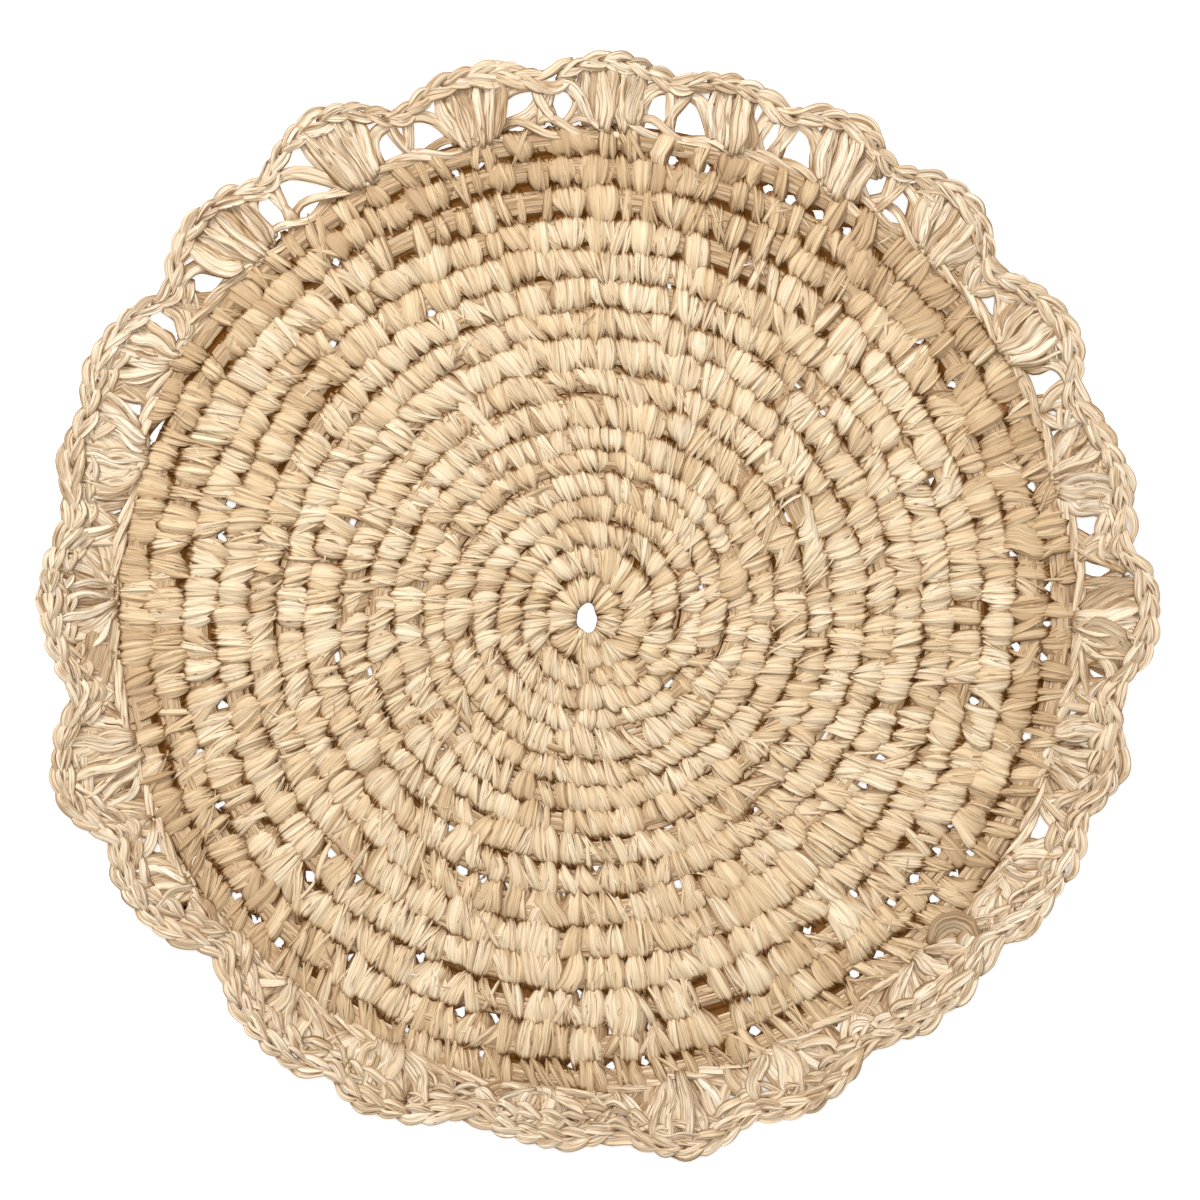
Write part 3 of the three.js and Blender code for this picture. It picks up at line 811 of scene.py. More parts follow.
def ribbons_along(name, path, halves, thick, tone, shade, material, rng,
                  pleat=0.34, clear=True, roll=0.0):
    """Closed flat ribbons carried along paths on the mat.

    path holds the bearing, radius and height of each ribbon's middle line, as (ribbons, along).
    Each ribbon's section is a flattened oval, halves wide to each side and thick high, set square
    to the path and level across it, or rolled by up to roll to one side, as a share of its width.
    Pleats along the top make it uneven. Both ends are closed. Where clear is set, the ribbons
    bend round the lace gaps.
    """
    middle = place(*path) / MM
    if clear:
        middle[..., :2] += room_for(*lace_gaps(), middle[..., :2], halves * 0.85, LACE_SPREAD)
    forward = unit(np.gradient(middle, axis=1))
    side = unit(np.stack((forward[..., 1], -forward[..., 0], np.zeros(halves.shape)), axis=-1))
    up = np.cross(side, forward)
    count, along = halves.shape
    turn = section_angles(TUBE_SIDES, 0.5)
    across = np.sign(np.cos(turn)) * np.abs(np.cos(turn)) ** 0.8
    top = np.sin(turn) > 0.0
    lift = np.where(top, np.sin(turn), 0.6 * np.sin(turn))
    fold = 1.0 + pleat * rng.normal(size=(count, 1, TUBE_SIDES)) * top
    wave = 1.0 + 0.5 * pleat * ripples(rng, count, along, TUBE_SIDES) * top
    thick = np.broadcast_to(thick, halves.shape)[:, :, None]
    points = (middle[:, :, None, :]
              + side[:, :, None, :] * (across * halves[:, :, None])[..., None]
              + up[:, :, None, :] * (lift * fold * wave * thick)[..., None])
    rolled = roll * by_strip(rng.uniform(-1.0, 1.0, count))
    points[..., 2] = np.maximum(points[..., 2] + rolled * across * halves[:, :, None], 0.05)
    seed = rng.uniform(0.0, 900.0, count)
    step = np.linalg.norm(np.diff(middle, axis=1), axis=-1)
    length = np.concatenate((np.zeros((count, 1)), np.cumsum(step, axis=1)), axis=1)
    strand = strand_coordinates(halves.max(axis=1), length, seed, across)
    # painted shade: the underside, the two edges and the edge that is rolled down are darker
    lowered = np.clip(-rolled / max(roll, 0.01) * across, 0.0, 1.0) * (np.abs(across) > 0.6)
    outline = 0.46 * (np.abs(across) > 0.9) + 0.20 * ~top + 0.55 * lowered
    shade = np.broadcast_to(shade, halves.shape)[:, :, None]
    tint = tints(by_strip(tone), np.clip(shade + outline, 0, 1), points.shape[:3], 0.42)
    piece = new_piece(name, (points * MM, strand, tint), material, closed=True)
    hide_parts("shell_edging")
    return piece


def carried(start, control, end, t):
    """A curve from start to end that leans towards its control point, at each share t."""
    a, b, c = ((1 - t) ** 2)[None, :], (2 * t * (1 - t))[None, :], (t ** 2)[None, :]
    return start[:, None] * a + control[:, None] * b + end[:, None] * c


def build_shells(material):
    """The shells: fans of long stitches that leave one rounded base and spread to the plaited rim.

    Each strand is a quadratic curve from the base to its place at the rim. The outermost ones set
    off along the foot chain and turn outwards late, which gives the shell its round shoulders.
    """
    rng = np.random.default_rng(31)
    upper, lower = FAN_LAYERS
    shell = np.repeat(np.arange(len(SHELLS)), upper + lower)
    layer = np.tile(np.repeat((0.0, 1.0), FAN_LAYERS), len(SHELLS))
    spread = np.concatenate((np.linspace(0.08, 0.92, upper), np.linspace(0.04, 0.96, lower)))
    count = len(shell)
    spread = np.tile(spread, len(SHELLS)) + 0.050 * rng.normal(size=count)
    width = to_next(column("start"))[shell]
    base, seat = column("base")[shell], column("seat")[shell]
    closed = 1.0 - column("open")[shell]
    t = np.linspace(0.0, 1.0, FAN_STEPS)
    middle = (column("start")[shell] + width / 2.0 + base) / 2.0
    end = middle + width * (spread - 0.5) * (0.50 + 0.42 * closed)
    reach = rim_radius(end) - 4.4 - 2.4 * rng.random(count) * (1.0 - layer)
    reach = reach + 0.5 * rng.normal(size=count)
    far = np.abs(spread - 0.5) * 2.0
    control_bearing = base + (end - base) * (0.50 + 0.42 * far + 0.06 * closed)
    control_radius = seat + (reach - seat) * (0.50 - (0.42 + 0.06 * closed) * far ** 2)
    foot = rng.uniform(4.0, 6.0, len(SHELLS))[shell] - 0.8 * closed
    begin = base + foot * (spread - 0.5) + (0.15 + 0.45 * closed) * rng.normal(size=count)
    bearing = carried(begin, control_bearing, end, t)
    waves = rng.uniform(0.5, 1.1, count)[:, None] * t + rng.random(count)[:, None]
    sway = (0.20 + 0.40 * closed)[:, None] * np.sin(2.0 * np.pi * waves)
    bearing = bearing + sway * half_wave(t)
    tuck = 2.6 - 19.0 * (spread - 0.5) ** 2 - 0.8 * layer
    radius = carried(seat - tuck + 0.4 * rng.normal(size=count), control_radius, reach, t)
    hump = half_wave(t, 0.95, 0.05, 0.6)
    rise = 4.2 - 1.8 * layer + 0.85 * rng.normal(size=count)
    height = rise[:, None] + 0.9 * hump - 0.8 * t + curl(bearing, radius)
    body = 0.55 + 0.45 * smoothstep(0.0, 0.34, t) - 0.55 * smoothstep(0.76, 1.0, t)
    size = np.exp(0.38 * rng.normal(size=count)) * (1.0 + 0.5 * layer)
    halves = (FAN_HALF * size)[:, None] * body
    thick = (0.78 + 0.12 * rng.normal(size=count))[:, None] * (0.55 + 0.45 * hump)
    thick = thick * (0.5 + 0.5 * body / body.max())
    tone = 0.32 + 0.15 * rng.normal(size=count) + 0.14 * layer
    shade = (0.55 * smoothstep(0.12, 0.0, t) + 0.34 * layer[:, None]
             + 0.08 * smoothstep(0.85, 1.0, t))
    ribbons_along("shell_fans", (bearing, radius, height), halves, thick, tone,
                  np.clip(shade, 0, 1), material, rng, pleat=0.42, roll=0.70)


def build_posts(material):
    """The posts: two legs between neighbouring shells, from the foot chain out to the dip.

    With them go the wings: strands that rise along each side of a shell and then turn over the
    lace gap beside it to the head of the post.
    """
    rng = np.random.default_rng(32)
    t = np.linspace(0.0, 1.0, POST_STEPS)
    hump = half_wave(t, 0.9, 0.05)
    body = 0.70 + 0.3 * half_wave(t)

    def pairs(strands, scatter):
        """For strands on both sides of every shell: its index, the side, and a place across."""
        index = np.repeat(np.arange(len(SHELLS)), 2 * len(strands))
        side = np.tile(np.repeat((-1.0, 1.0), len(strands)), len(SHELLS))
        place_across = np.tile(strands, 2 * len(SHELLS)) + scatter * rng.normal(size=len(index))
        return index, side, place_across

    dips, leg, q = pairs(np.linspace(-1, 1, LEG_STRANDS), 0.3)
    closed = 1 - openness_at(dips)
    start = column("start")[dips]
    reach = 1.5 + 0.9 * closed
    foot = seat_radius(start) + 1.0
    head = rim_radius(start) - 3.0
    bearing = carried(start - leg * 0.30 + q * 0.35, start + leg * reach * 0.75 + q * 0.45,
                      start + leg * reach * 0.80 + q * 0.55, t)
    radius = carried(foot, (foot + head) / 2.0, head, t)
    height = 3.0 + 1.2 * hump + 0.4 * rng.normal(size=(len(dips), 1)) + curl(bearing, radius)
    size = (1.8 + 0.5 * closed) * np.exp(0.18 * rng.normal(size=len(dips)))
    posts = bearing, radius, height, size[:, None] * body

    shell, side, row = pairs(np.linspace(0.0, 1.0, WING_STRANDS), 0.15)
    base, near = column("base")[shell], column("start")[shell]
    near = np.where(side < 0, near, near + to_next(column("start"))[shell])
    begin = base + side * (2.4 + 0.5 * rng.normal(size=len(shell)))
    end = near - side * (0.3 + 1.2 * row)
    head = rim_radius(end) - 4.6 - 2.4 * row
    bearing = carried(begin, near + (base - near) * (0.50 - 0.12 * row), end, t)
    radius = carried(seat_radius(begin) + 0.5, head + 1.6 - 1.5 * row, head, t)
    height = 2.6 + 1.0 * hump + 0.5 * rng.normal(size=(len(shell), 1)) + curl(bearing, radius)
    size = WING_HALF * np.exp(0.22 * rng.normal(size=len(shell)))
    wings = bearing, radius, height, size[:, None] * body

    bearing, radius, height, halves = (np.concatenate(pair) for pair in zip(posts, wings))
    tone = 0.32 + 0.12 * rng.normal(size=len(halves))
    ribbons_along("edging_posts", (bearing, radius, height), halves, 0.80, tone,
                  0.6 * smoothstep(0.25, 0.0, t), material, rng, roll=0.35)


def build_webs(material):
    """Broad leaves that cross each other between shells and close the lace where it is not open."""
    rng = np.random.default_rng(36)
    dips = np.repeat(np.arange(len(SHELLS)), WEB_LEAVES)
    share = np.tile(np.linspace(0.10, 0.90, WEB_LEAVES), len(SHELLS))
    share = share + 0.03 * rng.normal(size=len(dips))
    kept = rng.random(len(dips)) > 1.15 * openness_at(dips) - 0.10
    dips, share = dips[kept], share[kept]
    count = len(dips)
    t = np.linspace(0.0, 1.0, WEB_STEPS)
    base = column("base")[(dips - 1) % len(SHELLS)]
    begin = base + np.mod(column("base")[dips] - base, FULL_TURN) * share
    dip = base + np.mod(column("start")[dips] - base, FULL_TURN)
    pull = 0.45 + 0.35 * rng.random(count)
    end = begin + (dip - begin) * pull + 2.2 * rng.normal(size=count)
    foot = seat_radius(begin) - 0.6 + 0.8 * rng.normal(size=count)
    head = rim_radius(end) - 6.0 - 4.0 * rng.random(count)
    bearing = carried(begin, (begin + end) / 2.0 + 0.8 * rng.normal(size=count), end, t)
    radius = carried(foot, (foot + head) / 2.0, head, t)
    level = 2.0 + 1.4 * rng.random(count)
    height = level[:, None] + 0.9 * half_wave(t) + curl(bearing, radius)
    body = 0.55 + 0.45 * half_wave(t, 0.8, 0.1)
    halves = (WEB_HALF * np.exp(0.22 * rng.normal(size=count)))[:, None] * body
    tone = 0.42 + 0.13 * rng.normal(size=count)
    shade = np.clip(0.55 - 0.32 * (level - 2.0), 0.05, 1)[:, None]
    ribbons_along("edging_webs", (bearing, radius, height), halves, 0.85, tone,
                  shade + 0.4 * smoothstep(0.2, 0.0, t), material, rng, roll=0.50)


def build_chain(material):
    """The foot chain: twisted strands along the close rounds, from each base to the next."""
    rng = np.random.default_rng(33)
    shell = np.repeat(np.arange(len(SHELLS)), CHAIN_STRANDS)
    phase = np.tile(section_angles(CHAIN_STRANDS), len(SHELLS)) + 0.4 * rng.normal(size=len(shell))
    base = column("base")
    t = np.linspace(0.0, 1.0, CHAIN_STEPS)
    bearing = base[shell][:, None] + to_next(base)[shell][:, None] * t
    twist = phase[:, None] + 2.0 * np.pi * 1.35 * t
    arch = half_wave(t, power=0.8)
    openness = openness_at((shell + 1) % len(SHELLS))[:, None]
    radius = seat_radius(bearing) - 0.9 + (0.4 + 1.5 * openness) * arch + 1.25 * np.cos(twist)
    height = 3.3 + 1.0 * np.sin(twist) + curl(bearing, radius)
    halves = np.full((len(shell), CHAIN_STEPS), CHAIN_HALF) * (0.80 + 0.2 * arch)
    tone = 0.42 + 0.10 * rng.normal(size=len(shell))
    shade = np.clip(0.20 - 0.30 * np.sin(twist), 0, 1)
    ribbons_along("edging_foot_chain", (bearing, radius, height), halves, 0.95, tone,
                  shade, material, rng)


def rim_length(inset):
    """Bearings round the scalloped rim, drawn in by an inset, and the length run up to each."""
    fine = np.linspace(SHELLS[0, 0], SHELLS[0, 0] + FULL_TURN, 7200)
    radius = rounded_rim(fine) - inset
    angle = np.radians(fine)
    x, y = radius * np.sin(angle), radius * np.cos(angle)
    return fine, np.concatenate(((0.0,), np.cumsum(np.hypot(np.diff(x), np.diff(y)))))


def build_plait(settings, material, name, plan):
    """A chain of V-shaped links along the rim: each link is two legs that part and close again.

    Each leg is two strands side by side. plan is PLAIT or LOOPS.
    """
    inset, spacing, long, apart, wide, over, unruly, mean_tone, least, seed = plan
    rng = np.random.default_rng(seed)
    fine, length = rim_length(inset)
    total = length[-1]
    count = int(round(total / spacing))
    link = np.repeat(np.arange(count), 4)
    leg = np.tile((-1.0, -1.0, 1.0, 1.0), count)[:, None]
    legs = len(link)
    beside = np.tile((-0.5, 0.5), 2 * count) * wide + 0.25 * rng.normal(size=legs)
    size = np.exp(0.12 * rng.normal(size=count))[link] * np.exp(0.12 * rng.normal(size=legs))
    size = size[:, None]
    t = np.linspace(0.0, 1.0, PLAIT_STEPS)
    at = (link * total / count)[:, None] + 0.5 * rng.normal(size=count)[link][:, None]
    bearing = np.interp(np.mod(at + long * (t - 0.44) * size, total), length, fine)
    parting = half_wave(t, 0.92, 0.03, 0.8)
    opening = 1.25 * smoothstep(-0.20, 0.78, t) - 0.25 - 0.30 * smoothstep(0.66, 1.0, t)
    lateral = leg * apart * opening * size + beside[:, None] * parting
    tilt = unruly * (rng.normal(size=(legs, 1)) * (t - 0.5) + 0.22 * rng.normal(size=(legs, 1)))
    radius = rounded_rim(bearing) + 0.4 - inset + lateral + tilt
    height = (settings.plait_height + over + 1.1 * half_wave(t, 1.05)
              - 1.4 * (1 - t) ** 3 - 1.3 * t ** 5 + 0.18 * unruly * rng.normal(size=(legs, 1))
              + curl(bearing, rim_radius(bearing) - 0.6 * inset))
    halves = 0.72 * wide * size * (0.32 + 0.68 * half_wave(t, 0.88, 0.06, 0.8))
    tone = mean_tone + 0.12 * rng.normal(size=legs) + (0.08 * drift(rng, count, 4))[link]
    shade = 0.8 * smoothstep(0.20, 0.0, t) + 0.7 * smoothstep(0.86, 1.0, t)
    lift = between_shells(column("lift"), bearing[:, PLAIT_STEPS // 2])
    has = lift + 1.0 * rng.normal(size=count)[link] > least
    path = [values[has] for values in (bearing, radius, height)]
    ribbons_along(name, path, halves[has], 0.74 * (0.55 + 0.45 * parting), tone[has], shade,
                  material, rng, pleat=0.50, clear=False, roll=0.50)


def build_strays(settings, material):
    """Loose fibres: short fine hairs that lift off the stitches and lie across them."""
    rng = np.random.default_rng(41)
    beta = rng.uniform(SPIRAL_OPENS + 20, SPIRAL_CLOSES - 900, FIBRES)
    beta = beta * 0.55 + 0.45 * SPIRAL_OPENS
    middle = row_at(beta)[0][:, None]
    t = np.linspace(0.0, 1.0, FIBRE_STEPS)
    reach = rng.uniform(3.0, 9.0, FIBRES)[:, None]
    heading = np.radians(rng.normal(70.0, 50.0, FIBRES))[:, None]
    swing = rng.normal(size=FIBRES)[:, None] * 2.5
    sideways = reach * (t - 0.5) * np.sin(heading) + swing * (t * (1 - t))
    radius = middle + reach * (t - 0.5) * np.cos(heading)
    bearing = beta[:, None] + np.degrees(sideways / middle)
    arch = half_wave(t)
    height = settings.crest_height - 0.7 + 1.0 * arch * rng.uniform(0.5, 1.4, FIBRES)[:, None]
    halves = rng.uniform(0.10, 0.34, FIBRES)[:, None] * (0.35 + 0.65 * arch)
    tone = 0.22 + 0.14 * rng.normal(size=FIBRES)
    piece = ribbons_along("loose_fibres", (bearing, radius, height), halves, 0.08, tone, 0.0,
                          material, rng, clear=False)


# ---- Materials -----------------------------------------------------------------------------

# Noises of the fibre group: scale across, along and between strands, in 1/mm, and detail.
NOISES = {
    "broad": ((0.40, 0.05, 1.0), 2.0),
    "streak": ((1.6, 0.07, 1.0), 3.0),
    "fine": ((5.0, 0.16, 1.0), 2.0),
    "blotch": ((0.35, 0.22, 1.0), 2.0),
    "sparse": ((0.75, 0.13, 1.7), 1.0),
}
# How much each noise moves the tone, and how much it adds to the relief.
TONE_WEIGHTS = (("streak", 0.70), ("broad", 0.50), ("blotch", 0.35), ("fine", 0.90))
RELIEF_WEIGHTS = (("fine", 0.14), ("crease_shade", -0.3), ("broad", 1.5))
# Painted shade in creases and along fine fold lines (hairlines): noise scale, slant in radians
# and sharpness, and a hairline's darkness.
CREASES = (((0.50, 0.05, 1.0), 0.05, 34.0), ((0.85, 0.08, 1.0), -0.10, 44.0))
HAIRLINES = (((0.60, 0.035, 1.0), 0.02, 13.0, 0.80), ((1.20, 0.06, 1.0), -0.03, 14.0, 0.48))
# Grooves, partly fibre streaks and partly painted fold shade: noise scale and darkness.
GROOVES = (((0.85, 0.045, 1.0), 0.9), ((2.1, 0.09, 1.0), 1.0))
# Darkness of painted crease shadows and of painted shade; the deep tan's share of crease shade.
CREASE_DARKNESS, SHADE_DARKNESS, DEEP_TAN = 0.70, 0.67, 0.27
# Inputs of the fibre group, with their defaults, and its outputs.
FIBRE_INPUTS = (
    ("Strand", "Vector", (0, 0, 0)), ("Tone", "Float", 0.4), ("Shade", "Float", 0.0),
    ("Fold Shade", "Float", 0.5), ("Pale", "Color", (0.8, 0.7, 0.5, 1)),
    ("Warm", "Color", (0.7, 0.5, 0.3, 1)), ("Tan", "Color", (0.5, 0.35, 0.2, 1)),
    ("Crease Shade", "Color", (0.2, 0.1, 0.05, 1)), ("Streak Strength", "Float", 0.5))
FIBRE_OUTPUTS = (("Color", "Color"), ("Roughness", "Float"), ("Height", "Float"))
# Each part's finish: its material, the settings that give its pale, warm, tan and painted
# crease shade colours, the strength of its streaks and the strength of its relief.
FINISHES = {
    # painted shade: the coil takes each colour a step darker, as it shows only in the crevices
    "coil": ("raffia_with_painted_crevice_shade", ("warm", "tan", "crease_shade", "crease_shade"), 0.5, 0.6),
    "straw": ("straw_strands", ("straw", "warm", "tan", "crease_shade"), 0.7, 0.6),
    "stitches": ("raffia_close_stitches", ("pale", "warm", "tan", "crease_shade"), 1.0, 1.0),
    "edging": ("raffia_edging", ("edging", "edging_warm", "tan", "crease_shade"), 1.0, 1.0),
}
RELIEF_DEPTH = 0.6 * MM


def feed(tree, inputs):
    """Sets input sockets: each is joined to an output socket, or takes a number or a colour."""
    for target, value in inputs:
        if isinstance(value, bpy.types.NodeSocket):
            tree.links.new(value, target)
        else:
            target.default_value = value


def math(tree, operation, first, second=0.5, clamp=False):
    """A Math node: each operand is a socket or a number. Returns the output."""
    node = tree.nodes.new("ShaderNodeMath")
    node.operation = operation
    node.use_clamp = clamp
    feed(tree, zip(node.inputs, (first, second)))
    return node.outputs[0]


def mapped(tree, vector, **settings):
    """A vector through a Mapping node."""
    node = tree.nodes.new("ShaderNodeMapping")
    feed(tree, [(node.inputs["Vector"], vector)])
    feed(tree, [(node.inputs[name], value) for name, value in settings.items()])
    return node.outputs["Vector"]


def stretched_noise(tree, vector, scale, detail):
    """Noise on fibre coordinates, stretched so that its streaks run along the strand."""
    noise = tree.nodes.new("ShaderNodeTexNoise")
    values = {"Vector": mapped(tree, vector, Scale=scale), "Scale": 1.0, "Detail": detail,
              "Roughness": 0.6}
    feed(tree, [(noise.inputs[name], value) for name, value in values.items()])
    return noise.outputs["Fac"]


def ridge(tree, vector, scale, slant, sharpness):
    """0 along thin crease lines and 1 elsewhere: the middle line of a slanted, stretched noise."""
    noise = stretched_noise(tree, mapped(tree, vector, Rotation=(0.0, 0.0, slant)), scale, 1.0)
    away = math(tree, "ABSOLUTE", math(tree, "SUBTRACT", noise))
    return math(tree, "MULTIPLY", away, sharpness, clamp=True)


def mixed(tree, factor, first, second):
    """A colour Mix node: factor is a socket or a number. Returns the colour output."""
    node = tree.nodes.new("ShaderNodeMix")
    node.data_type = "RGBA"
    feed(tree, ((node.inputs[0], factor), (node.inputs[6], first), (node.inputs[7], second)))
    return node.outputs[2]


def raffia_group():
    """Raffia fibre: streaked colour, fine relief and roughness from a strand's own coordinates.

    The colour also carries painted shade: the tint's shade, crease shadows and fold lines darken
    it.
    """
    group = bpy.data.node_groups.new("Raffia fibre", "ShaderNodeTree")
    for name, kind, value in FIBRE_INPUTS:
        item = group.interface.new_socket(name=name, in_out="INPUT",
                                          socket_type=f"NodeSocket{kind}")
        item.default_value = value
    for name, kind in FIBRE_OUTPUTS:
        group.interface.new_socket(name=name, in_out="OUTPUT", socket_type=f"NodeSocket{kind}")
    inputs = group.nodes.new("NodeGroupInput").outputs
    outputs = group.nodes.new("NodeGroupOutput").inputs
    strand, fold_shade = inputs["Strand"], inputs["Fold Shade"]

    def calc(operation, first, second=0.5, clamp=False):
        """A Math node of this group."""
        return math(group, operation, first, second, clamp)

    noises = {name: stretched_noise(group, strand, *plan) for name, plan in NOISES.items()}
    sparse = calc("MULTIPLY", calc("SUBTRACT", noises["sparse"], 0.60), 12.0, clamp=True)
    crease_shade = calc("MINIMUM", *(ridge(group, strand, *plan) for plan in CREASES))
    noises["crease_shade"] = calc("MULTIPLY", calc("SUBTRACT", 1.0, crease_shade), sparse)

    # tone runs from pale at 0, through warm at 0.5, to tan at 1
    tone = inputs["Tone"]
    for name, weight in TONE_WEIGHTS:
        swing = calc("MULTIPLY", calc("SUBTRACT", noises[name]), weight)
        tone = calc("ADD", tone, calc("MULTIPLY", swing, inputs["Streak Strength"]))
    high = calc("MULTIPLY", calc("SUBTRACT", tone), 2.0, clamp=True)
    colour = mixed(group, calc("MULTIPLY", tone, 2.0, clamp=True), inputs["Pale"], inputs["Warm"])
    colour = mixed(group, high, colour, inputs["Tan"])

    # painted shade: crease shadows and the tint's shade darken the colour
    dark = calc("MAXIMUM", calc("MULTIPLY", noises["crease_shade"], CREASE_DARKNESS),
                calc("MULTIPLY", inputs["Shade"], SHADE_DARKNESS))
    # painted fold shade: hairlines, strongest where the strip is gathered
    for scale, slant, sharpness, weight in HAIRLINES:
        hair = calc("SUBTRACT", 1.0, ridge(group, strand, scale, slant, sharpness))
        hair = calc("MULTIPLY", calc("MULTIPLY", hair, weight), fold_shade)
        dark = calc("ADD", dark, hair, clamp=True)
    # grooves: partly the fibre's own streaks, partly painted shade in its folds
    for scale, weight in GROOVES:
        groove = calc("SUBTRACT", 0.53, stretched_noise(group, strand, scale, 2.0))
        groove = calc("MULTIPLY", calc("MULTIPLY", groove, weight, clamp=True), fold_shade)
        dark = calc("ADD", dark, groove, clamp=True)

    # painted shade darkens through a deep tan on its way to the crease shade colour
    deep_tan = mixed(group, DEEP_TAN, inputs["Tan"], inputs["Crease Shade"])
    colour = mixed(group, calc("MULTIPLY", dark, 2.0, clamp=True), colour, deep_tan)
    deeper = calc("MULTIPLY", calc("SUBTRACT", dark), 2.0, clamp=True)
    height = calc("MULTIPLY", noises["streak"], 0.75)
    for name, weight in RELIEF_WEIGHTS:
        height = calc("ADD", height, calc("MULTIPLY", noises[name], weight))
    rough = calc("ADD", calc("MULTIPLY", noises["fine"], 0.30), 0.40)
    feed(group, ((outputs["Color"], mixed(group, deeper, colour, inputs["Crease Shade"])),
                 (outputs["Roughness"], rough), (outputs["Height"], height)))
    return group


def raffia_material(name, group, colours, streak, relief):
    """A raffia finish: the fibre group on a piece's strand and tint attributes."""
    material = bpy.data.materials.new(name)
    material.use_nodes = True
    tree = material.node_tree
    shader = tree.nodes["Principled BSDF"]
    fibre = tree.nodes.new("ShaderNodeGroup")
    fibre.node_tree = group
    strand, tint = (tree.nodes.new("ShaderNodeAttribute") for _ in range(2))
    strand.attribute_name, tint.attribute_name = "strand", "tint"
    split = tree.nodes.new("ShaderNodeSeparateColor")
    bump = tree.nodes.new("ShaderNodeBump")
    feed(tree, [(fibre.inputs[label], (*colour, 1.0))
                for label, colour in zip(("Pale", "Warm", "Tan", "Crease Shade"), colours)])
    feed(tree, (
        (split.inputs["Color"], tint.outputs["Color"]),
        (fibre.inputs["Strand"], strand.outputs["Vector"]),
        (fibre.inputs["Tone"], split.outputs["Red"]),
        (fibre.inputs["Shade"], split.outputs["Green"]),
        (fibre.inputs["Fold Shade"], split.outputs["Blue"]),
        (fibre.inputs["Streak Strength"], streak),
        (bump.inputs["Strength"], relief),
        (bump.inputs["Distance"], RELIEF_DEPTH),
        (bump.inputs["Height"], fibre.outputs["Height"]),
        (shader.inputs["Base Color"], fibre.outputs["Color"]),
        (shader.inputs["Roughness"], fibre.outputs["Roughness"]),
        (shader.inputs["Normal"], bump.outputs["Normal"]),
        (shader.inputs["Specular IOR Level"], 0.14)))
    return material


def finish_for(part):
    """A part's finish, made once from the colour settings and then shared."""
    name, colours, streak, relief = FINISHES[part]
    if name in bpy.data.materials:
        return bpy.data.materials[name]
    settings = bpy.context.scene.placemat_colours
    group = bpy.data.node_groups.get("Raffia fibre") or raffia_group()
    colours = [getattr(settings, colour) for colour in colours]
    return raffia_material(name, group, colours, streak, relief)


# ---- Settings ------------------------------------------------------------------------------


def size_setting(name, description, default):
    """A length in millimetres that a user may change."""
    return bpy.props.FloatProperty(name=name, description=description, default=default,
                                   subtype="NONE")


def colour_setting(name, description, default):
    """A linear colour that a user may change."""
    return bpy.props.FloatVectorProperty(name=name, description=description, default=default,
                                         subtype="COLOR", size=3, min=0.0, max=1.0)


def stage_setting(name, description, default, unit="NONE"):
    """A length, wattage or strength of the stage that a user may change."""
    return bpy.props.FloatProperty(name=name, description=description, default=default, unit=unit)


class PlacematSizes(bpy.types.PropertyGroup):
    """Sizes of the mat and its stitches, in millimetres."""

    stitch_spacing: size_setting("Stitch spacing", "Mean distance between close stitches, in mm",
                                 7.6)
    crest_height: size_setting("Crest height", "Top of a wrapped row, in mm", 5.5)
    coil_height: size_setting("Coil height", "Height of the body under the stitches, in mm", 2.7)
    core_height: size_setting("Core height", "Height of the straw core's middle, in mm", 3.6)
    plait_height: size_setting("Plait height", "Height of the rim's plait over its foot, in mm",
                               2.7)


class PlacematColours(bpy.types.PropertyGroup):
    """Colours of the raffia, the straw and the stage."""

    pale: colour_setting("Pale raffia", "The palest strips", (0.858, 0.732, 0.542))
    edging: colour_setting("Edging raffia", "The palest strips of the edging",
                           (0.905, 0.815, 0.667))
    edging_warm: colour_setting("Warm edging raffia", "The most common strips of the edging",
                                (0.815, 0.662, 0.474))
    warm: colour_setting("Warm raffia", "The most common strips", (0.750, 0.570, 0.355))
    tan: colour_setting("Tan raffia", "The brownest strips", (0.535, 0.370, 0.215))
    # painted shade: the dark brown that creases, crevice sides and shaded parts are mixed towards
    crease_shade: colour_setting("Crease Shade", "Creases and the sides turned to a crevice",
                           (0.135, 0.050, 0.006))
    straw: colour_setting("Straw", "The straw core", (0.87, 0.71, 0.50))
    floor: colour_setting("Floor", "The plain floor", (0.94, 0.94, 0.94))


class PlacematStage(bpy.types.PropertyGroup):
    """The camera and the lights."""

    camera_height: stage_setting("Camera height", "Height of the camera", 1.5, "LENGTH")
    frame_width: stage_setting("Frame width", "Width of what the camera sees", 0.4097, "LENGTH")
    overhead: stage_setting("Overhead light", "Watts of the overhead light", 24.0)
    key: stage_setting("Key light", "Watts of the light from the top edge", 21.0)
    world: stage_setting("Sky", "Strength of the plain sky", 0.3)


# ---- Operators -----------------------------------------------------------------------------


class PLACEMAT_OT_coil(bpy.types.Operator):
    """Builds the spiral body under the close stitches."""

    bl_idname = "placemat.coil"
    bl_label = "Build the coil"

    def execute(self, context):
        build_coil(context.scene.placemat_sizes, finish_for("coil"))
        return {"FINISHED"}


class PLACEMAT_OT_straw(bpy.types.Operator):
    """Builds the straw core that shows between stitches."""

    bl_idname = "placemat.straw"
    bl_label = "Build the straw core"

    def execute(self, context):
        build_straw(context.scene.placemat_sizes, finish_for("straw"))
        return {"FINISHED"}


class PLACEMAT_OT_stitches(bpy.types.Operator):
    """Builds the close stitches of the disc."""

    bl_idname = "placemat.stitches"
    bl_label = "Build the close stitches"

    def execute(self, context):
        build_stitches(context.scene.placemat_sizes, finish_for("stitches"))
        return {"FINISHED"}


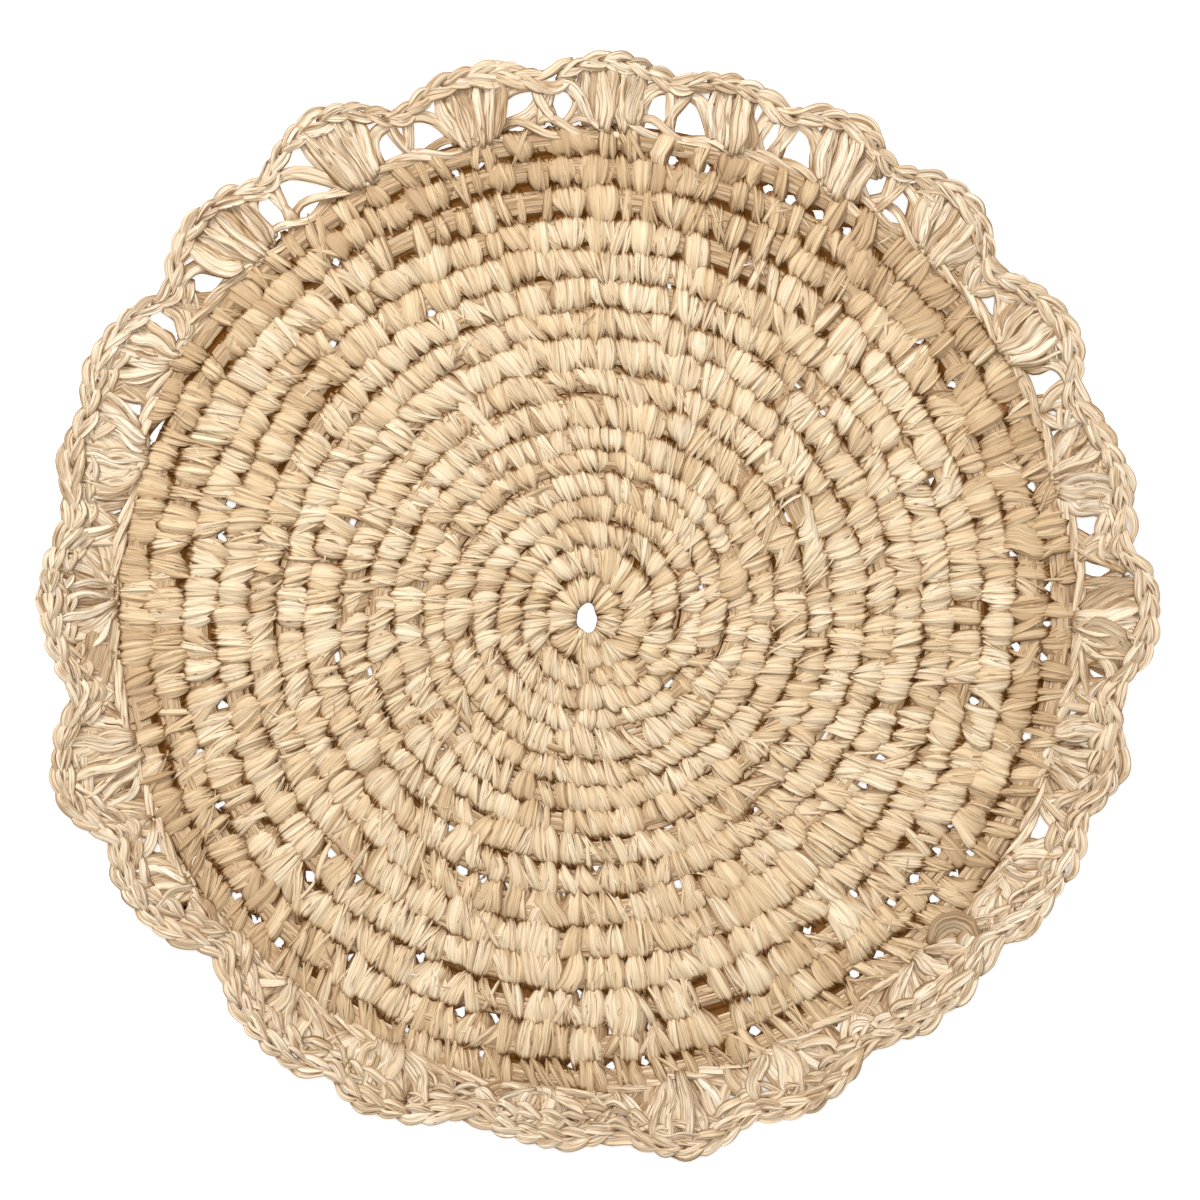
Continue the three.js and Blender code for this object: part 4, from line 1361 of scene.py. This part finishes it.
class PLACEMAT_OT_edging(bpy.types.Operator):
    """Builds the shells, the posts and webs between them, and their foot chain."""

    bl_idname = "placemat.edging"
    bl_label = "Build the shells and posts"

    def execute(self, context):
        for build in (build_shells, build_posts, build_webs, build_chain):
            build(finish_for("edging"))
        return {"FINISHED"}


class PLACEMAT_OT_plait(bpy.types.Operator):
    """Builds the plaited rim and the row of loops inside it."""

    bl_idname = "placemat.plait"
    bl_label = "Build the plaited rim"

    def execute(self, context):
        for name, plan in (("rim_plait", PLAIT), ("rim_loops", LOOPS)):
            build_plait(context.scene.placemat_sizes, finish_for("edging"), name, plan)
        return {"FINISHED"}


class PLACEMAT_OT_strays(bpy.types.Operator):
    bl_idname = "placemat.strays"
    bl_label = "Build the loose fibres"

    def execute(self, context):
        build_strays(context.scene.placemat_sizes, finish_for("edging"))
        coil = bpy.data.objects.get("ground_coil")
        if coil is None:
            raise RuntimeError("build the coil first")
        return {"FINISHED"}


def area_light(name, location, turn, watts, colour):
    """A soft square light at a place in metres, turned by Euler angles in degrees."""
    data = bpy.data.lights.new(name, "AREA")
    data.size = LIGHT_SIZE
    data.energy = watts
    data.color = colour
    light = bpy.data.objects.new(name, data)
    light.location = location
    light.rotation_euler = np.radians(turn)
    bpy.context.scene.collection.objects.link(light)


# The stage: the floor's half width, the lights' width, the camera's offset towards the far edge
# and the height of the plane that its frame width is measured in, all in metres; sensor in mm.
FLOOR_REACH, LIGHT_SIZE, CAMERA_Y, FOCUS_HEIGHT, SENSOR = 30.0, 0.6, 0.0012, 0.005, 36.0
WHITE = (1.0, 1.0, 1.0, 1.0)


class PLACEMAT_OT_stage(bpy.types.Operator):
    """Builds the floor, the lights, the sky and the camera."""

    bl_idname = "placemat.stage"
    bl_label = "Build the stage"

    def execute(self, context):
        scene = context.scene
        stage = scene.placemat_stage
        mesh = bpy.data.meshes.new("floor")
        mesh.from_pydata([(x * FLOOR_REACH, y * FLOOR_REACH, 0)
                          for x, y in ((-1, -1), (1, -1), (1, 1), (-1, 1))], [], [(0, 1, 2, 3)])
        floor = bpy.data.objects.new("floor", mesh)
        scene.collection.objects.link(floor)
        paint = bpy.data.materials.new("pale_floor")
        paint.use_nodes = True
        shader = paint.node_tree.nodes["Principled BSDF"]
        for name, value in (("Base Color", (*scene.placemat_colours.floor, 1.0)),
                            ("Roughness", 0.9), ("Specular IOR Level", 0.1),
                            ("Emission Color", WHITE), ("Emission Strength", 0.35)):
            shader.inputs[name].default_value = value
        mesh.materials.append(paint)
        area_light("overhead_softbox", (0.0, 0.05, 1.9), (0, 0, 0), stage.overhead,
                   (1.0, 0.99, 0.97))
        area_light("key_softbox", (-0.55, 1.15, 1.2), (-46, 0, 25), stage.key, (1.0, 0.985, 0.96))
        scene.view_settings.view_transform = "Standard"
        world = bpy.data.worlds.new("plain_sky")
        world.use_nodes = True
        sky = world.node_tree.nodes["Background"]
        sky.inputs["Color"].default_value = WHITE
        sky.inputs["Strength"].default_value = stage.world
        scene.world = world
        data = bpy.data.cameras.new("camera")
        data.sensor_width = SENSOR
        distance = stage.camera_height - FOCUS_HEIGHT
        data.lens = SENSOR / 2.0 / (stage.frame_width / 2.0 / distance)
        data.clip_end = 100.0
        camera = bpy.data.objects.new("camera", data)
        camera.location = (0.0, CAMERA_Y, stage.camera_height)
        scene.collection.objects.link(camera)
        scene.camera = camera
        return {"FINISHED"}


class PLACEMAT_PT_panel(bpy.types.Panel):
    """Lists the settings and the steps."""

    bl_idname = "PLACEMAT_PT_panel"
    bl_label = "Raffia placemat"
    bl_space_type = "VIEW_3D"
    bl_region_type = "UI"
    bl_category = "Placemat"

    def draw(self, context):
        for group in GROUPS:
            settings = getattr(context.scene, group)
            box = self.layout.box()
            for name in settings.__annotations__:
                box.prop(settings, name)
        for step in STEPS:
            self.layout.operator(step.bl_idname)


STEPS = (PLACEMAT_OT_stage, PLACEMAT_OT_coil, PLACEMAT_OT_straw, PLACEMAT_OT_stitches,
         PLACEMAT_OT_edging, PLACEMAT_OT_plait, PLACEMAT_OT_strays)
GROUPS = {"placemat_sizes": PlacematSizes, "placemat_colours": PlacematColours,
          "placemat_stage": PlacematStage}
CLASSES = (*GROUPS.values(), *STEPS, PLACEMAT_PT_panel)


def register():
    """Registers the classes and hangs the settings on the scene."""
    for cls in CLASSES:
        bpy.utils.register_class(cls)
    for name, cls in GROUPS.items():
        setattr(bpy.types.Scene, name, bpy.props.PointerProperty(type=cls))


def unregister():
    """Takes the settings and the classes away again."""
    for name in GROUPS:
        delattr(bpy.types.Scene, name)
    for cls in reversed(CLASSES):
        bpy.utils.unregister_class(cls)


def main():
    register()
    for step in STEPS:
        group, operator = step.bl_idname.split(".")
        getattr(getattr(bpy.ops, group), operator)()


if __name__ == "__main__":
    main()
